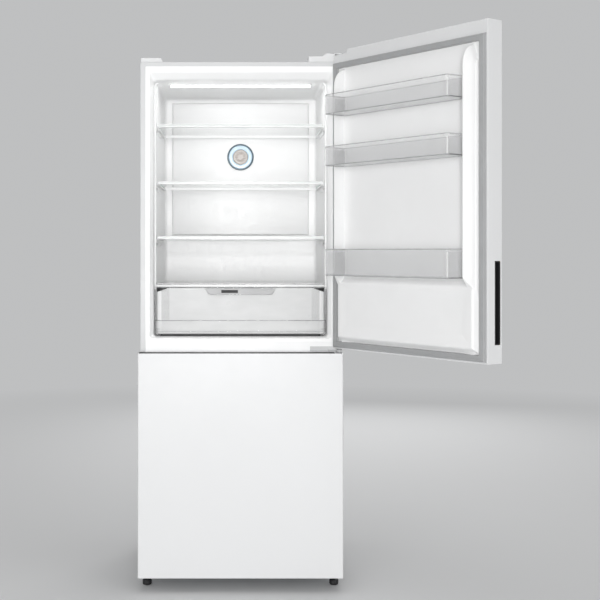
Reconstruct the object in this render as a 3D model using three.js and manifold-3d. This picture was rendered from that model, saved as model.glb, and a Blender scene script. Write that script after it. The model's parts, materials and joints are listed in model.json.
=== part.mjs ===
// Bottom-freezer refrigerator, with the door of the upper compartment standing open and the
// freezer door below it closed.
//
// Millimetres, +Z up, +X to the right of someone who faces the doors, -Y towards them. The cabinet
// is drawn with the floor at z = 0, its front plane at y = 0 and its middle at x = 0. The last
// lines shift the whole group so that the middle of its footprint on the floor is the origin.

import * as THREE from 'three';
import { mergeVertices } from 'three/addons/utils/BufferGeometryUtils.js';
import Module from 'manifold-3d';

// ---------------------------------------------------------------- driving dimensions

// Cabinet shell
const CABINET_WIDTH = 696;
const CABINET_DEPTH = 612;
const CABINET_BOTTOM = 44;
const CABINET_TOP = 1816;
const SHEET = 2; // steel skins, brackets' fixing plates and the base
const FLANGE_SIDE = 19; // steel turned in round the front, beside and above the liners
const FLANGE_TOP = 16;
const SIDE_WALL = 50; // outer skin to the inside of a compartment
const TOP_WALL = 60;
const BACK_WALL = 86;
const HALF = CABINET_WIDTH / 2;
const HALF_INSIDE = HALF - SIDE_WALL;
const INSIDE_BACK = CABINET_DEPTH - BACK_WALL;

// Liners
const LINER = 2.5;
const LIP_SIDE = 14; // flat plastic rim between the steel flange and the opening
const LIP_TOP = 20;
const LIP_RAIL = 12;
const MOUTH_DEPTH = 24; // sloped mouth from the rim to the straight walls
const SEAT_DEPTH = 80; // wider zone at the mouth, where the door's ridges and the crisper front go
const SEAT_RECESS = 6;
const HALF_SEAT = HALF_INSIDE + SEAT_RECESS;
const SILL_SLOPE = 4;
const FRIDGE_FLOOR = 862;
const FRIDGE_SILL = FRIDGE_FLOOR - SILL_SLOPE;
const FRIDGE_CEILING = CABINET_TOP - TOP_WALL;
const FREEZER_CEILING = FRIDGE_FLOOR - 86;
const FREEZER_HEADER = FREEZER_CEILING + SILL_SLOPE;
const FREEZER_FLOOR = CABINET_BOTTOM + 52;
const FREEZER_SILL = FREEZER_FLOOR - 6;
const STEP_FOAM = 42; // insulation between the freezer and the machine room
const STEP_FRONT = INSIDE_BACK - 176; // the freezer's floor rises here over the machine room
const MACHINE_ROOM_TOP = 262;
const STEP_TOP = MACHINE_ROOM_TOP + 40;
const RUNNER_WIDTH = 7; // ribs on the liner walls that carry shelves and drawers
const RUNNER_HEIGHT = 7;

/** Height above the floor of a share of the upper compartment, to the whole millimetre. */
const level = (share) => FRIDGE_FLOOR + Math.round(share * (FRIDGE_CEILING - FRIDGE_FLOOR));

// Doors
const DOOR_OVERHANG = 2; // each side of the cabinet
const DOOR_THICKNESS = 64;
const DOOR_GAP = 12; // back of the door to the cabinet, bridged by the gasket
const DOOR_SHEET = 1;
const DOOR_RETURN = 10;
const DOOR_EDGE_RADIUS = 4;
const DOOR_RISE = 30; // top of the upper door above the cabinet
const DOOR_PARTING = 14; // between the two doors
const FRIDGE_DOOR_BOTTOM = FRIDGE_FLOOR - 36;
const FRIDGE_DOOR_TOP = CABINET_TOP + DOOR_RISE;
const FREEZER_DOOR_BOTTOM = CABINET_BOTTOM + 4;
const FREEZER_DOOR_TOP = FRIDGE_DOOR_BOTTOM - DOOR_PARTING;
const FRIDGE_CAP_TOP = 46;
const CAP_HEIGHT = 24;
const CAP_WALL = 4;
const DOOR_LINER = 2;
const DOOR_OPEN_DEG = 125.5;

// Gaskets
const GASKET_INSET = 5;
const GASKET_WIDTH = 22;
const GASKET_TAPER = 4;
const GASKET_SEAT_GAP = 0.5;
const FRIDGE_GASKET_DROP = DOOR_RISE + 11; // below the top of the door
const FREEZER_GASKET_RISE = 12; // above the bottom of the freezer door

// Ridges and raised panels on the back of the doors
const RIDGE_ROOT = HALF - 30; // half-width where a ridge leaves the door
const RIDGE_OUTER = HALF_SEAT - 7;
const RIDGE_INNER = RIDGE_OUTER - 6;
const RIDGE_HEIGHT = 46;
const RIDGE_TOP = CABINET_TOP - 34;
const RIDGE_RAKE = 36;
const PANEL_HEIGHT = 20;
const PANEL_SLOPE = 18;
const PANEL_BOTTOM = FRIDGE_DOOR_BOTTOM + 30;
const FREEZER_PANEL_HEIGHT = 14;

// Hinges
const PIN_INSET = 10; // pin axis from the door's side
const PIN_SETBACK = 48; // pin axis from the door's front
const PIN_RADIUS = 4.5;
const PIN_LENGTH = 18;
const PIN_CLEARANCE = 0.5;
const ARM_HALF_WIDTH = 9;
const ARM_THICKNESS = 4;
const BOSS_RADIUS = 8;
const NOTCH_WIDTH = 21;
const NOTCH_HEIGHT = 14;
const NOTCH_REACH = 26;
const HINGE_COVER_LEFT = HALF - 112;
const HINGE_COVER_DEPTH = 124;
const HINGE_COVER_LOW = 20;
const HINGE_COVER_HIGH = DOOR_RISE;
const HINGE_COVER_STEP = 48; // from its left end to the foot of the step
const LEFT_COVER_WIDTH = 80;
const LEFT_COVER_HEIGHT = 14;
const MIDDLE_PLATE_LEFT = HALF - 107;
const MIDDLE_PLATE_HEIGHT = 17;
const BOTTOM_BRACKET_WIDTH = 48;
const BOTTOM_BRACKET_DEPTH = 60;

// Handle pockets in the free side of each door
const HANDLE_LENGTH = 249;
const HANDLE_WIDTH = 24;
const HANDLE_DEPTH = 20;
const HANDLE_WALL = 3;
const HANDLE_SETBACK = 10; // from the door's front
const FRIDGE_HANDLE_BOTTOM = FRIDGE_DOOR_BOTTOM + 56;
const FREEZER_HANDLE_BOTTOM = FREEZER_DOOR_TOP - 43 - HANDLE_LENGTH;

// Door baskets: heights above the floor
const BASKET_SIDE_GAP = 2.5; // to the ridges
const BASKET_WIDTH = 2 * (RIDGE_INNER - BASKET_SIDE_GAP);
const BASKET_REACH = 104;
const BASKET_WALL = 2.5;
const BASKET_RIM = 5;
const BASKET_CORNER = 16;
const BASKETS = {
  upper: { bottom: level(0.8445), height: 65 },
  middle: { bottom: level(0.6521), height: 64 },
  lower: { bottom: level(0.2427), height: 88 },
};
const RIDGE_BOTTOM = BASKETS.lower.bottom - 6;
const LUG_HEIGHT = 22;
const LUG_DEPTH = 34;

// Shelves: height of the glass top above the floor
const SHELF_TOPS = [level(0.8356), level(0.6085), level(0.3915)];
const GLASS = 4;
const SHELF_FRONT = 100;
const SHELF_BACK = INSIDE_BACK - 36;
const SHELF_SIDE_GAP = 3;
const TRIM_DEPTH = 14;
const TRIM_LIP = 2;
const TRIM_DROP = 5;

// Crisper
const CRISPER_COVER_TOP = FRIDGE_FLOOR + 183;
const CRISPER_COVER_FRONT = 66;
const CRISPER_COVER_BACK = INSIDE_BACK - 6;
const CRISPER_TRIM_DROP = 8;
const CRISPER_FRONT = 45;
const CRISPER_BACK = INSIDE_BACK - 48;
const CRISPER_BOTTOM = FRIDGE_FLOOR + 4.5;
const CRISPER_FRONT_BOTTOM = FRIDGE_FLOOR + 8;
const CRISPER_TOP_GAP = 2;
const CRISPER_SIDE_GAP = 4.5;
const CRISPER_BOX_INSET = 19;
const CRISPER_WALL = 3;
const CRISPER_CORNER = 28;
const FLOOR_RUNNER_X = 200;
const HANDLE_PANEL_TOP_WIDTH = 250;
const HANDLE_PANEL_BOTTOM_WIDTH = 222;
const HANDLE_PANEL_HEIGHT = 24;
const HANDLE_PANEL_THICKNESS = 6;
const SLIDER_WIDTH = 58;
const SLIDER_HEIGHT = 10;
const SLIDER_THICKNESS = 4;
const SLIDER_X = -38;
const SLIDER_TRACK = 84;

// Air duct cover, purifier and lamp in the upper compartment
const DUCT_WIDTH = 2 * (HALF_INSIDE - 31);
const DUCT_BOTTOM = SHELF_TOPS[2] + 11;
const DUCT_TOP = FRIDGE_CEILING - 18;
const DUCT_SIDE_DEPTH = 22;
const DUCT_CROWN = 8;
const DUCT_WALL = 3;
const PURIFIER_RADIUS = 51.5;
const PURIFIER_FACE_RADIUS = 29;
const PURIFIER_DEPTH = 8;
const PURIFIER_Z = level(0.7427);
const LAMP_WIDTH = 2 * (HALF_INSIDE - 46);
const LAMP_FRONT = 120;
const LAMP_DEPTH = 30;
const LAMP_HEIGHT = 8;

// Freezer drawers: bottoms, heights and back ends
const FREEZER_DUCT_FRONT = INSIDE_BACK - 86;
const DRAWER_BACK_GAP = 16;
const DRAWERS = {
  upper: { bottom: FREEZER_CEILING - 202, height: 176, back: FREEZER_DUCT_FRONT - DRAWER_BACK_GAP },
  middle: { bottom: STEP_TOP + 34, height: 214, back: FREEZER_DUCT_FRONT - DRAWER_BACK_GAP },
  lower: { bottom: FREEZER_FLOOR + 6, height: 210, back: STEP_FRONT - 14 },
};
const DRAWER_FRONT = 22;
const DRAWER_WALL = 3;
const DRAWER_SIDE_GAP = 12; // box wall to liner wall
const DRAWER_FLANGE = 8;
const DRAWER_FLANGE_DROP = 40; // below the rim

// Freezer air circuit
const FREEZER_DUCT_WALL = 3;
const FREEZER_DUCT_SIDE_GAP = 8;
const FREEZER_DUCT_TOP_GAP = 6;
const FAN_Z = FREEZER_CEILING - 166;
const FAN_RADIUS = 52;
const FAN_HUB_RADIUS = 14;
const FAN_BLADES = 5;
const FAN_DEPTH = 16;
const FAN_OPENING_GAP = 4;
const FAN_SPOKES = 6;
const MOTOR_RADIUS = 24;
const MOTOR_LENGTH = 35;
const SHAFT_RADIUS = 3;
const SHAFT_LENGTH = 22;
const EVAPORATOR_WIDTH = 2 * (HALF_INSIDE - 98);
const EVAPORATOR_HEIGHT = 170;
const EVAPORATOR_DEPTH = 56;
const FIN_PITCH = 20;
const FIN_GAP = 14;

// Machine room
const COMPRESSOR_X = -150;
const COMPRESSOR_Y = CABINET_DEPTH - 110;
const COMPRESSOR_RADIUS = 78;
const COMPRESSOR_HEIGHT = 150;
const COMPRESSOR_SEAM = 3; // how far the weld round the can stands out
const DRAIN_PAN_WIDTH = 220;
const DRAIN_PAN_DEPTH = 180;
const DRAIN_PAN_HEIGHT = 30;
const CONDENSER_RIGHT = HALF - 58;
const CONDENSER_LEFT = CONDENSER_RIGHT - 230;
const CONDENSER_TUBE = 4;
const CONDENSER_PITCH = 24;
const CONDENSER_RUNS = 8;
const LOUVRE_COUNT = 10;
const LOUVRE_HEIGHT = 6;
const LOUVRE_WIDTH = 190;
const GLAND_X = HALF - 98;
const GLAND_Z = 90;
const GLAND_RADIUS = 9;
const GLAND_BORE = 5;
const GLAND_FLANGE = 12;

// Feet and rollers
const FOOT_X = HALF - 23;
const FOOT_Y = 20;
const FOOT_RADIUS = 16;
const FOOT_HEIGHT = 20;
const STEM_RADIUS = 5;
const STEM_BOSS_RADIUS = 10;
const STEM_BOSS_HEIGHT = 10;
const ROLLER_X = HALF - 58;
const ROLLER_Y = CABINET_DEPTH - 52;
const ROLLER_RADIUS = 20;
const ROLLER_WIDTH = 22;
const ROLLER_AXLE = 5;
const ROLLER_BRACKET = 3;

const RUNNING_GAP = 0.5; // between a piece that slides or turns and what carries it
const FIT_GAP = 0.3; // between pieces of a door, and round pins

// ---------------------------------------------------------------- derived dimensions

const HALF_LIP = HALF - FLANGE_SIDE;
const HALF_MOUTH = HALF_LIP - LIP_SIDE;
const LIP_TOP_EDGE = CABINET_TOP - FLANGE_TOP;
const MOUTH_TOP = LIP_TOP_EDGE - LIP_TOP;
const BACK_SHEET_FACE = CABINET_DEPTH - SHEET;
const MACHINE_ROOM_FRONT = STEP_FRONT + LINER + STEP_FOAM;
const BASE_TOP = CABINET_BOTTOM + SHEET;

const DOOR_HALF = HALF + DOOR_OVERHANG;
const DOOR_BACK = -DOOR_GAP;
const DOOR_FRONT = DOOR_BACK - DOOR_THICKNESS;
const PIN_X = DOOR_HALF - PIN_INSET;
const PIN_Y = DOOR_FRONT + PIN_SETBACK;
const PIN_HOLE = PIN_RADIUS + PIN_CLEARANCE;

// ---------------------------------------------------------------- solids

const wasm = await Module();
wasm.setup();

/** A closed three.js geometry as a solid that can be cut and joined. */
function toSolid(geometry) {
  geometry.deleteAttribute('normal');
  geometry.deleteAttribute('uv');
  const merged = mergeVertices(geometry, 1e-4);
  return new wasm.Manifold(new wasm.Mesh({
    numProp: 3,
    vertProperties: new Float32Array(merged.attributes.position.array),
    triVerts: new Uint32Array(merged.index.array),
  }));
}

/** A named mesh from a solid. */
function part(name, solid, material) {
  const { vertProperties, triVerts } = solid.getMesh();
  const geometry = new THREE.BufferGeometry();
  geometry.setAttribute('position', new THREE.BufferAttribute(vertProperties, 3));
  geometry.setIndex(new THREE.BufferAttribute(triVerts, 1));
  geometry.computeVertexNormals();
  const mesh = new THREE.Mesh(geometry, material);
  mesh.name = name;
  return mesh;
}

/** A box between [low, high] pairs along x, y and z. */
function block([x0, x1], [y0, y1], [z0, z1]) {
  const geometry = new THREE.BoxGeometry(x1 - x0, y1 - y0, z1 - z0);
  geometry.translate((x0 + x1) / 2, (y0 + y1) / 2, (z0 + z1) / 2);
  return toSolid(geometry);
}

/** The pair [-half, half]. */
const both = (half) => [-half, half];

/** A four-sided frustum along Y between rectangle {x, z} at y0 and another at y1 > y0. */
function frustum(y0, near, y1, far) {
  const ring = (y, { x, z }) => [x[0], y, z[0], x[1], y, z[0], x[1], y, z[1], x[0], y, z[1]];
  const geometry = new THREE.BufferGeometry();
  const corners = new Float32Array([...ring(y0, near), ...ring(y1, far)]);
  geometry.setAttribute('position', new THREE.BufferAttribute(corners, 3));
  geometry.setIndex([
    0, 1, 2, 0, 2, 3, 4, 6, 5, 4, 7, 6,
    0, 5, 1, 0, 4, 5, 1, 6, 2, 1, 5, 6, 2, 7, 3, 2, 6, 7, 3, 4, 0, 3, 7, 4,
  ]);
  return toSolid(geometry);
}

/** A cylinder from one end to the other along 'x', 'y' or 'z'. */
function rod(axis, radius, [from, to], centre, sides = 24) {
  const geometry = new THREE.CylinderGeometry(radius, radius, to - from, sides);
  const middle = (from + to) / 2;
  if (axis === 'x') {
    geometry.rotateZ(Math.PI / 2);
    geometry.translate(middle, centre[0], centre[1]);
  } else if (axis === 'y') {
    geometry.translate(centre[0], middle, centre[1]);
  } else {
    geometry.rotateX(Math.PI / 2);
    geometry.translate(centre[0], centre[1], middle);
  }
  return toSolid(geometry);
}

/** A solid of revolution about a vertical axis through (x, y) from [radius, z] points. */
function turned(profile, x, y, sides = 28) {
  const points = profile.map(([radius, z]) => new THREE.Vector2(radius, z));
  const geometry = new THREE.LatheGeometry(points, sides);
  geometry.rotateX(Math.PI / 2);
  geometry.translate(x, y, 0);
  return toSolid(geometry);
}

/** An outline in the XY plane carried up from z0 to z1. */
function upright(shape, [z0, z1], curveSegments = 4) {
  const geometry = new THREE.ExtrudeGeometry(shape, {
    depth: z1 - z0,
    bevelEnabled: false,
    curveSegments,
  });
  geometry.translate(0, 0, z0);
  return toSolid(geometry);
}

/** An outline given as [x, z] points carried back from y0 to y1. */
function throughY(points, [y0, y1]) {
  const shape = new THREE.Shape(points.map(([x, z]) => new THREE.Vector2(x, z)));
  const geometry = new THREE.ExtrudeGeometry(shape, { depth: y1 - y0, bevelEnabled: false });
  geometry.rotateX(Math.PI / 2);
  geometry.translate(0, y1, 0);
  return toSolid(geometry);
}

const joined = (solids) => solids.reduce((sum, solid) => sum.add(solid));
const cut = (solid, cutters) => cutters.reduce((rest, cutter) => rest.subtract(cutter), solid);

/** A solid and its mirror image across x = 0. */
const mirrored = (solid) => [solid, solid.mirror([1, 0, 0])];

/** A rectangle in plan with its two front corners rounded. */
function roundedFront(half, front, back, radius) {
  const shape = new THREE.Shape();
  shape.moveTo(-half, back);
  shape.lineTo(-half, front + radius);
  shape.absarc(-half + radius, front + radius, radius, Math.PI, 1.5 * Math.PI, false);
  shape.lineTo(half - radius, front);
  shape.absarc(half - radius, front + radius, radius, 1.5 * Math.PI, 2 * Math.PI, false);
  shape.lineTo(half, back);
  shape.closePath();
  return shape;
}

// ---------------------------------------------------------------- materials

const finish = (color, roughness, metalness = 0, opacity = 1) => new THREE.MeshStandardMaterial({
  color, roughness, metalness, opacity, transparent: opacity < 1,
});
const WHITE_STEEL = finish('#f1f2f2', 0.3, 0.1);
const GALVANISED = finish('#b9bdc0', 0.45, 0.8);
const LINER_PLASTIC = finish('#f3f4f5', 0.35);
const TRIM_PLASTIC = finish('#e9ebec', 0.4);
const FOAM = finish('#e5d9a8', 0.9);
const GASKET_RUBBER = finish('#a7a9ab', 0.7);
const DARK_PLASTIC = finish('#1d1e20', 0.5);
const CLEAR_PLASTIC = finish('#e6ebee', 0.1, 0, 0.35);
const GLASS_PANE = finish('#dfeae8', 0.05, 0, 0.35);
const BLACK_ENAMEL = finish('#232426', 0.35, 0.3);
const COPPER = finish('#b87345', 0.3, 0.9);
const ALUMINIUM = finish('#c7cacd', 0.4, 0.9);
const BLUE_PLASTIC = finish('#a9cfe6', 0.3);
const LAMP_LENS = finish('#ffffff', 0.2);

// ---------------------------------------------------------------- cabinet

/** Steel skin: two sides and a top in one bend, turned in round the front. */
function cabinetWrapper() {
  const skin = block(both(HALF), [0, BACK_SHEET_FACE], [CABINET_BOTTOM, CABINET_TOP]);
  const inside = block(both(HALF - SHEET), [SHEET, CABINET_DEPTH],
    [0, CABINET_TOP - SHEET]);
  const mouth = block(both(HALF_LIP), [-SHEET, 2 * SHEET], [0, LIP_TOP_EDGE]);
  return cut(skin, [inside, mouth]);
}

/** Outer boxes of the upper liner: rim, sloped mouth, wider seat zone and main box. */
function fridgeLinerBoxes() {
  const box = [FRIDGE_FLOOR - LINER, FRIDGE_CEILING + LINER];
  return [
    block(both(HALF_LIP), [0, LINER], [FRIDGE_SILL - LIP_RAIL, LIP_TOP_EDGE]),
    block(both(HALF_MOUTH + LINER), [0, MOUTH_DEPTH + LINER],
      [FRIDGE_SILL - LINER, MOUTH_TOP + LINER]),
    block(both(HALF_SEAT + LINER), [0, SEAT_DEPTH + LINER], box),
    block(both(HALF_INSIDE + LINER), [0, INSIDE_BACK + LINER], box),
  ];
}

/** Outer boxes of the freezer liner, with the raised floor over the machine room. */
function freezerLinerBoxes() {
  const side = both(HALF_INSIDE + LINER);
  return [
    block(both(HALF_LIP), [0, LINER], [FREEZER_SILL - LIP_RAIL, FREEZER_HEADER + LIP_RAIL]),
    block(both(HALF_MOUTH + LINER), [0, MOUTH_DEPTH + LINER],
      [FREEZER_SILL - LINER, FREEZER_HEADER + LINER]),
    block(side, [0, STEP_FRONT + LINER], [FREEZER_FLOOR - LINER, FREEZER_CEILING + LINER]),
    block(side, [0, INSIDE_BACK + LINER], [STEP_TOP - LINER, FREEZER_CEILING + LINER]),
  ];
}

/** A pair of ribs on the side walls whose tops are at z. */
function wallRunners(z, [y0, y1]) {
  return mirrored(block([HALF_INSIDE - RUNNER_WIDTH, HALF_INSIDE + LINER / 2], [y0, y1],
    [z - RUNNER_HEIGHT, z]));
}

/** Upper compartment: one formed sheet with its rim, mouth, seat zone and runners. */
function fridgeLiner() {
  const inside = [FRIDGE_FLOOR, FRIDGE_CEILING];
  const hollow = [
    frustum(-0.5, { x: both(HALF_MOUTH), z: [FRIDGE_SILL, MOUTH_TOP] },
      MOUTH_DEPTH, { x: both(HALF_SEAT), z: inside }),
    block(both(HALF_SEAT), [MOUTH_DEPTH, SEAT_DEPTH], inside),
    block(both(HALF_INSIDE), [MOUTH_DEPTH, INSIDE_BACK], inside),
  ];
  const shelfRunners = SHELF_TOPS.flatMap((top) => wallRunners(top - GLASS - RUNNING_GAP,
    [SHELF_FRONT + TRIM_DEPTH + RUNNING_GAP, SHELF_BACK]));
  const coverRunners = wallRunners(CRISPER_COVER_TOP - GLASS,
    [CRISPER_COVER_FRONT + TRIM_DEPTH + RUNNING_GAP, CRISPER_COVER_BACK]);
  const floorRunners = mirrored(block([FLOOR_RUNNER_X, FLOOR_RUNNER_X + RUNNER_WIDTH],
    [CRISPER_FRONT + CRISPER_CORNER, CRISPER_BACK],
    [FRIDGE_FLOOR - LINER / 2, CRISPER_BOTTOM - RUNNING_GAP]));
  return joined([cut(joined(fridgeLinerBoxes()), hollow), ...shelfRunners, ...coverRunners,
    ...floorRunners]);
}

/** Freezer compartment: rim, sloped mouth, box with a stepped floor, and drawer runners. */
function freezerLiner() {
  const full = [FREEZER_FLOOR, FREEZER_CEILING];
  const hollow = [
    frustum(-0.5, { x: both(HALF_MOUTH), z: [FREEZER_SILL, FREEZER_HEADER] },
      MOUTH_DEPTH, { x: both(HALF_INSIDE), z: full }),
    block(both(HALF_INSIDE), [MOUTH_DEPTH, STEP_FRONT], full),
    block(both(HALF_INSIDE), [MOUTH_DEPTH, INSIDE_BACK], [STEP_TOP, FREEZER_CEILING]),
  ];
  const runners = Object.values(DRAWERS).flatMap(({ bottom, height, back }) => wallRunners(
    bottom + height - DRAWER_FLANGE_DROP - RUNNING_GAP, [DRAWER_FRONT + DRAWER_FLANGE, back]));
  return joined([cut(joined(freezerLinerBoxes()), hollow), ...runners]);
}

/** Foam that fills the space between the skins and the two liners. */
function cabinetFoam() {
  const filled = block(both(HALF - SHEET), [SHEET, BACK_SHEET_FACE],
    [BASE_TOP, CABINET_TOP - SHEET]);
  const machineRoom = block(both(HALF), [MACHINE_ROOM_FRONT, CABINET_DEPTH],
    [0, MACHINE_ROOM_TOP]);
  const behindRail = block(both(HALF_LIP), [0, LINER], [0, LIP_TOP_EDGE]);
  return cut(filled, [...fridgeLinerBoxes(), ...freezerLinerBoxes(), machineRoom, behindRail]);
}

/** White rail across the front between the two compartments. */
function crossRail() {
  return block(both(HALF_LIP), [0, LINER],
    [FREEZER_HEADER + LIP_RAIL, FRIDGE_SILL - LIP_RAIL]);
}

/** Steel floor of the cabinet, with its front apron, foot bosses and roller brackets. */
function baseTray() {
  const plate = block(both(HALF - SHEET), [SHEET, BACK_SHEET_FACE], [CABINET_BOTTOM, BASE_TOP]);
  const sill = block(both(HALF_LIP), [0, 2 * SHEET], [CABINET_BOTTOM, BASE_TOP]);
  const apron = block(both(HALF_LIP), [0, SHEET], [CABINET_BOTTOM, FREEZER_SILL - LIP_RAIL]);
  const bosses = mirrored(rod('z', STEM_BOSS_RADIUS, [CABINET_BOTTOM - STEM_BOSS_HEIGHT, BASE_TOP],
    [FOOT_X, FOOT_Y]));
  const stemHoles = mirrored(rod('z', STEM_RADIUS + FIT_GAP,
    [CABINET_BOTTOM - 2 * STEM_BOSS_HEIGHT, BASE_TOP + SHEET], [FOOT_X, FOOT_Y]));
  const cheek = (x) => block([x, x + ROLLER_BRACKET],
    [ROLLER_Y - ROLLER_RADIUS, ROLLER_Y + ROLLER_RADIUS], [ROLLER_RADIUS - 8, BASE_TOP]);
  const inner = ROLLER_X - ROLLER_WIDTH / 2 - RUNNING_GAP - ROLLER_BRACKET;
  const outer = ROLLER_X + ROLLER_WIDTH / 2 + RUNNING_GAP;
  const axle = rod('x', ROLLER_AXLE, [inner, outer + ROLLER_BRACKET], [ROLLER_Y, ROLLER_RADIUS], 16);
  const brackets = [cheek(inner), cheek(outer), axle].flatMap(mirrored);
  return cut(joined([plate, sill, apron, ...bosses, ...brackets]), stemHoles);
}

/** Flat steel back above the machine room. */
function backPanel() {
  return block(both(HALF), [BACK_SHEET_FACE, CABINET_DEPTH], [MACHINE_ROOM_TOP, CABINET_TOP]);
}

/** Louvred cover of the machine room, with a hole for the cord gland. */
function rearCover() {
  const plate = block(both(HALF), [BACK_SHEET_FACE, CABINET_DEPTH],
    [CABINET_BOTTOM, MACHINE_ROOM_TOP - SHEET]);
  const pitch = (MACHINE_ROOM_TOP - CABINET_BOTTOM) / (LOUVRE_COUNT + 1);
  const louvres = [...Array(LOUVRE_COUNT).keys()].map((i) => {
    const z = CABINET_BOTTOM + (i + 1) * pitch;
    return block([-LOUVRE_WIDTH - FOOT_RADIUS, -FOOT_RADIUS], [INSIDE_BACK, CABINET_DEPTH + SHEET],
      [z - LOUVRE_HEIGHT / 2, z + LOUVRE_HEIGHT / 2]);
  });
  const glandHole = rod('y', GLAND_RADIUS + FIT_GAP, [INSIDE_BACK, CABINET_DEPTH + SHEET],
    [GLAND_X, GLAND_Z]);
  return cut(plate, [...louvres, glandHole]);
}

/** Bush in the rear cover where the mains cord would leave. */
function cordGland() {
  const sleeve = rod('y', GLAND_RADIUS, [BACK_SHEET_FACE - 4 * SHEET, CABINET_DEPTH + FIT_GAP],
    [GLAND_X, GLAND_Z]);
  const flange = rod('y', GLAND_FLANGE, [CABINET_DEPTH + FIT_GAP, CABINET_DEPTH + 2 * SHEET],
    [GLAND_X, GLAND_Z]);
  const bore = rod('y', GLAND_BORE, [INSIDE_BACK, CABINET_DEPTH + 3 * SHEET], [GLAND_X, GLAND_Z]);
  return joined([sleeve, flange]).subtract(bore);
}

// ---------------------------------------------------------------- hinges, covers and feet

/** Round-ended arm that reaches from the cabinet over a door's pin axis. */
function hingeArm([z0, z1], back) {
  const bar = block([PIN_X - ARM_HALF_WIDTH, PIN_X + ARM_HALF_WIDTH], [PIN_Y, back], [z0, z1]);
  return bar.add(rod('z', ARM_HALF_WIDTH, [z0, z1], [PIN_X, PIN_Y]));
}

/** Cranked bracket on the cabinet top with its pin pointing down into the door. */
function topHingeBracket() {
  const armTop = FRIDGE_DOOR_TOP - 3 * SHEET;
  const armBottom = armTop - ARM_THICKNESS;
  const right = HALF - 2 * LINER;
  const foot = block([HINGE_COVER_LEFT + 4 * LINER, right],
    [3 * ARM_THICKNESS, HINGE_COVER_DEPTH - 4 * LINER], [CABINET_TOP, CABINET_TOP + ARM_THICKNESS]);
  const riser = block([PIN_X - ARM_HALF_WIDTH, right],
    [3 * ARM_THICKNESS, 4 * ARM_THICKNESS], [CABINET_TOP, armTop]);
  const arm = hingeArm([armBottom, armTop], 4 * ARM_THICKNESS);
  const pin = rod('z', PIN_RADIUS, [armBottom - PIN_LENGTH, armTop], [PIN_X, PIN_Y]);
  return joined([foot, riser, arm, pin]);
}

/** Stepped plastic cover over the top hinge, open underneath and in front of the arm. */
function topHingeCover() {
  const low = CABINET_TOP + HINGE_COVER_LOW;
  const high = CABINET_TOP + HINGE_COVER_HIGH;
  const rampStart = HINGE_COVER_LEFT + HINGE_COVER_STEP;
  const outline = (inset) => [
    [HINGE_COVER_LEFT + inset, CABINET_TOP - inset], [HALF - inset, CABINET_TOP - inset],
    [HALF - inset, high - inset], [rampStart + 13, high - inset],
    [rampStart, low - inset], [HINGE_COVER_LEFT + inset, low - inset],
  ];
  const shell = throughY(outline(0), [SHEET, HINGE_COVER_DEPTH]);
  const hollow = throughY(outline(LINER), [SHEET + LINER, HINGE_COVER_DEPTH - LINER]);
  const armSlot = block([PIN_X - ARM_HALF_WIDTH - LINER, HALF + LINER],
    [0, 4 * ARM_THICKNESS + LINER],
    [CABINET_TOP + HINGE_COVER_LOW / 2, FRIDGE_DOOR_TOP - LINER]);
  return cut(shell, [hollow, armSlot]);
}

/** Low plastic cover on the other front corner of the cabinet top. */
function topLeftCover() {
  const right = -HALF + LEFT_COVER_WIDTH;
  const top = CABINET_TOP + LEFT_COVER_HEIGHT;
  const outline = (inset) => [
    [-HALF + SHEET + inset, CABINET_TOP - inset], [right - inset, CABINET_TOP - inset],
    [right - inset - 8, top - inset], [-HALF + SHEET + inset, top - inset],
  ];
  const shell = throughY(outline(0), [SHEET, HINGE_COVER_DEPTH]);
  return shell.subtract(throughY(outline(LINER), [SHEET + LINER, HINGE_COVER_DEPTH - LINER]));
}

/** Bracket on the cross rail that carries the upper door and guides the freezer door. */
function middleHingeBracket() {
  const armMiddle = (FRIDGE_DOOR_BOTTOM + FREEZER_DOOR_TOP) / 2;
  const arm = [armMiddle - ARM_THICKNESS / 2, armMiddle + ARM_THICKNESS / 2];
  const plateTop = FRIDGE_DOOR_BOTTOM + GASKET_INSET - RUNNING_GAP;
  return joined([
    block([MIDDLE_PLATE_LEFT, HALF - SHEET], [-SHEET, 0],
      [plateTop - MIDDLE_PLATE_HEIGHT, plateTop]),
    block([PIN_X - 4 * ARM_HALF_WIDTH, HALF], [-DOOR_GAP, 0], arm),
    hingeArm(arm, 0),
    rod('z', BOSS_RADIUS, [FREEZER_DOOR_TOP + RUNNING_GAP, FRIDGE_DOOR_BOTTOM - RUNNING_GAP],
      [PIN_X, PIN_Y]),
    rod('z', PIN_RADIUS, [FREEZER_DOOR_TOP - PIN_LENGTH, FRIDGE_DOOR_BOTTOM + PIN_LENGTH],
      [PIN_X, PIN_Y]),
  ]);
}

/** Bracket under the cabinet that carries the freezer door. */
function bottomHingeBracket() {
  const plate = [CABINET_BOTTOM - ARM_THICKNESS, CABINET_BOTTOM];
  const fixing = block([HALF - SHEET - BOTTOM_BRACKET_WIDTH, HALF - SHEET],
    [0, BOTTOM_BRACKET_DEPTH], plate);
  const footHole = rod('z', STEM_BOSS_RADIUS + FIT_GAP, [0, BASE_TOP], [FOOT_X, FOOT_Y]);
  return joined([
    fixing.subtract(footHole),
    hingeArm(plate, 0),
    rod('z', BOSS_RADIUS, [CABINET_BOTTOM, FREEZER_DOOR_BOTTOM - RUNNING_GAP], [PIN_X, PIN_Y]),
    rod('z', PIN_RADIUS, [CABINET_BOTTOM, FREEZER_DOOR_BOTTOM + PIN_LENGTH], [PIN_X, PIN_Y]),
  ]);
}

/** Levelling foot on a threaded stem. */
function foot(x) {
  return turned([
    [0, 0], [FOOT_RADIUS - 4, 0], [FOOT_RADIUS, 4], [FOOT_RADIUS, FOOT_HEIGHT],
    [STEM_RADIUS, FOOT_HEIGHT], [STEM_RADIUS, BASE_TOP - FIT_GAP], [0, BASE_TOP - FIT_GAP],
  ], x, FOOT_Y, 20);
}

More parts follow.
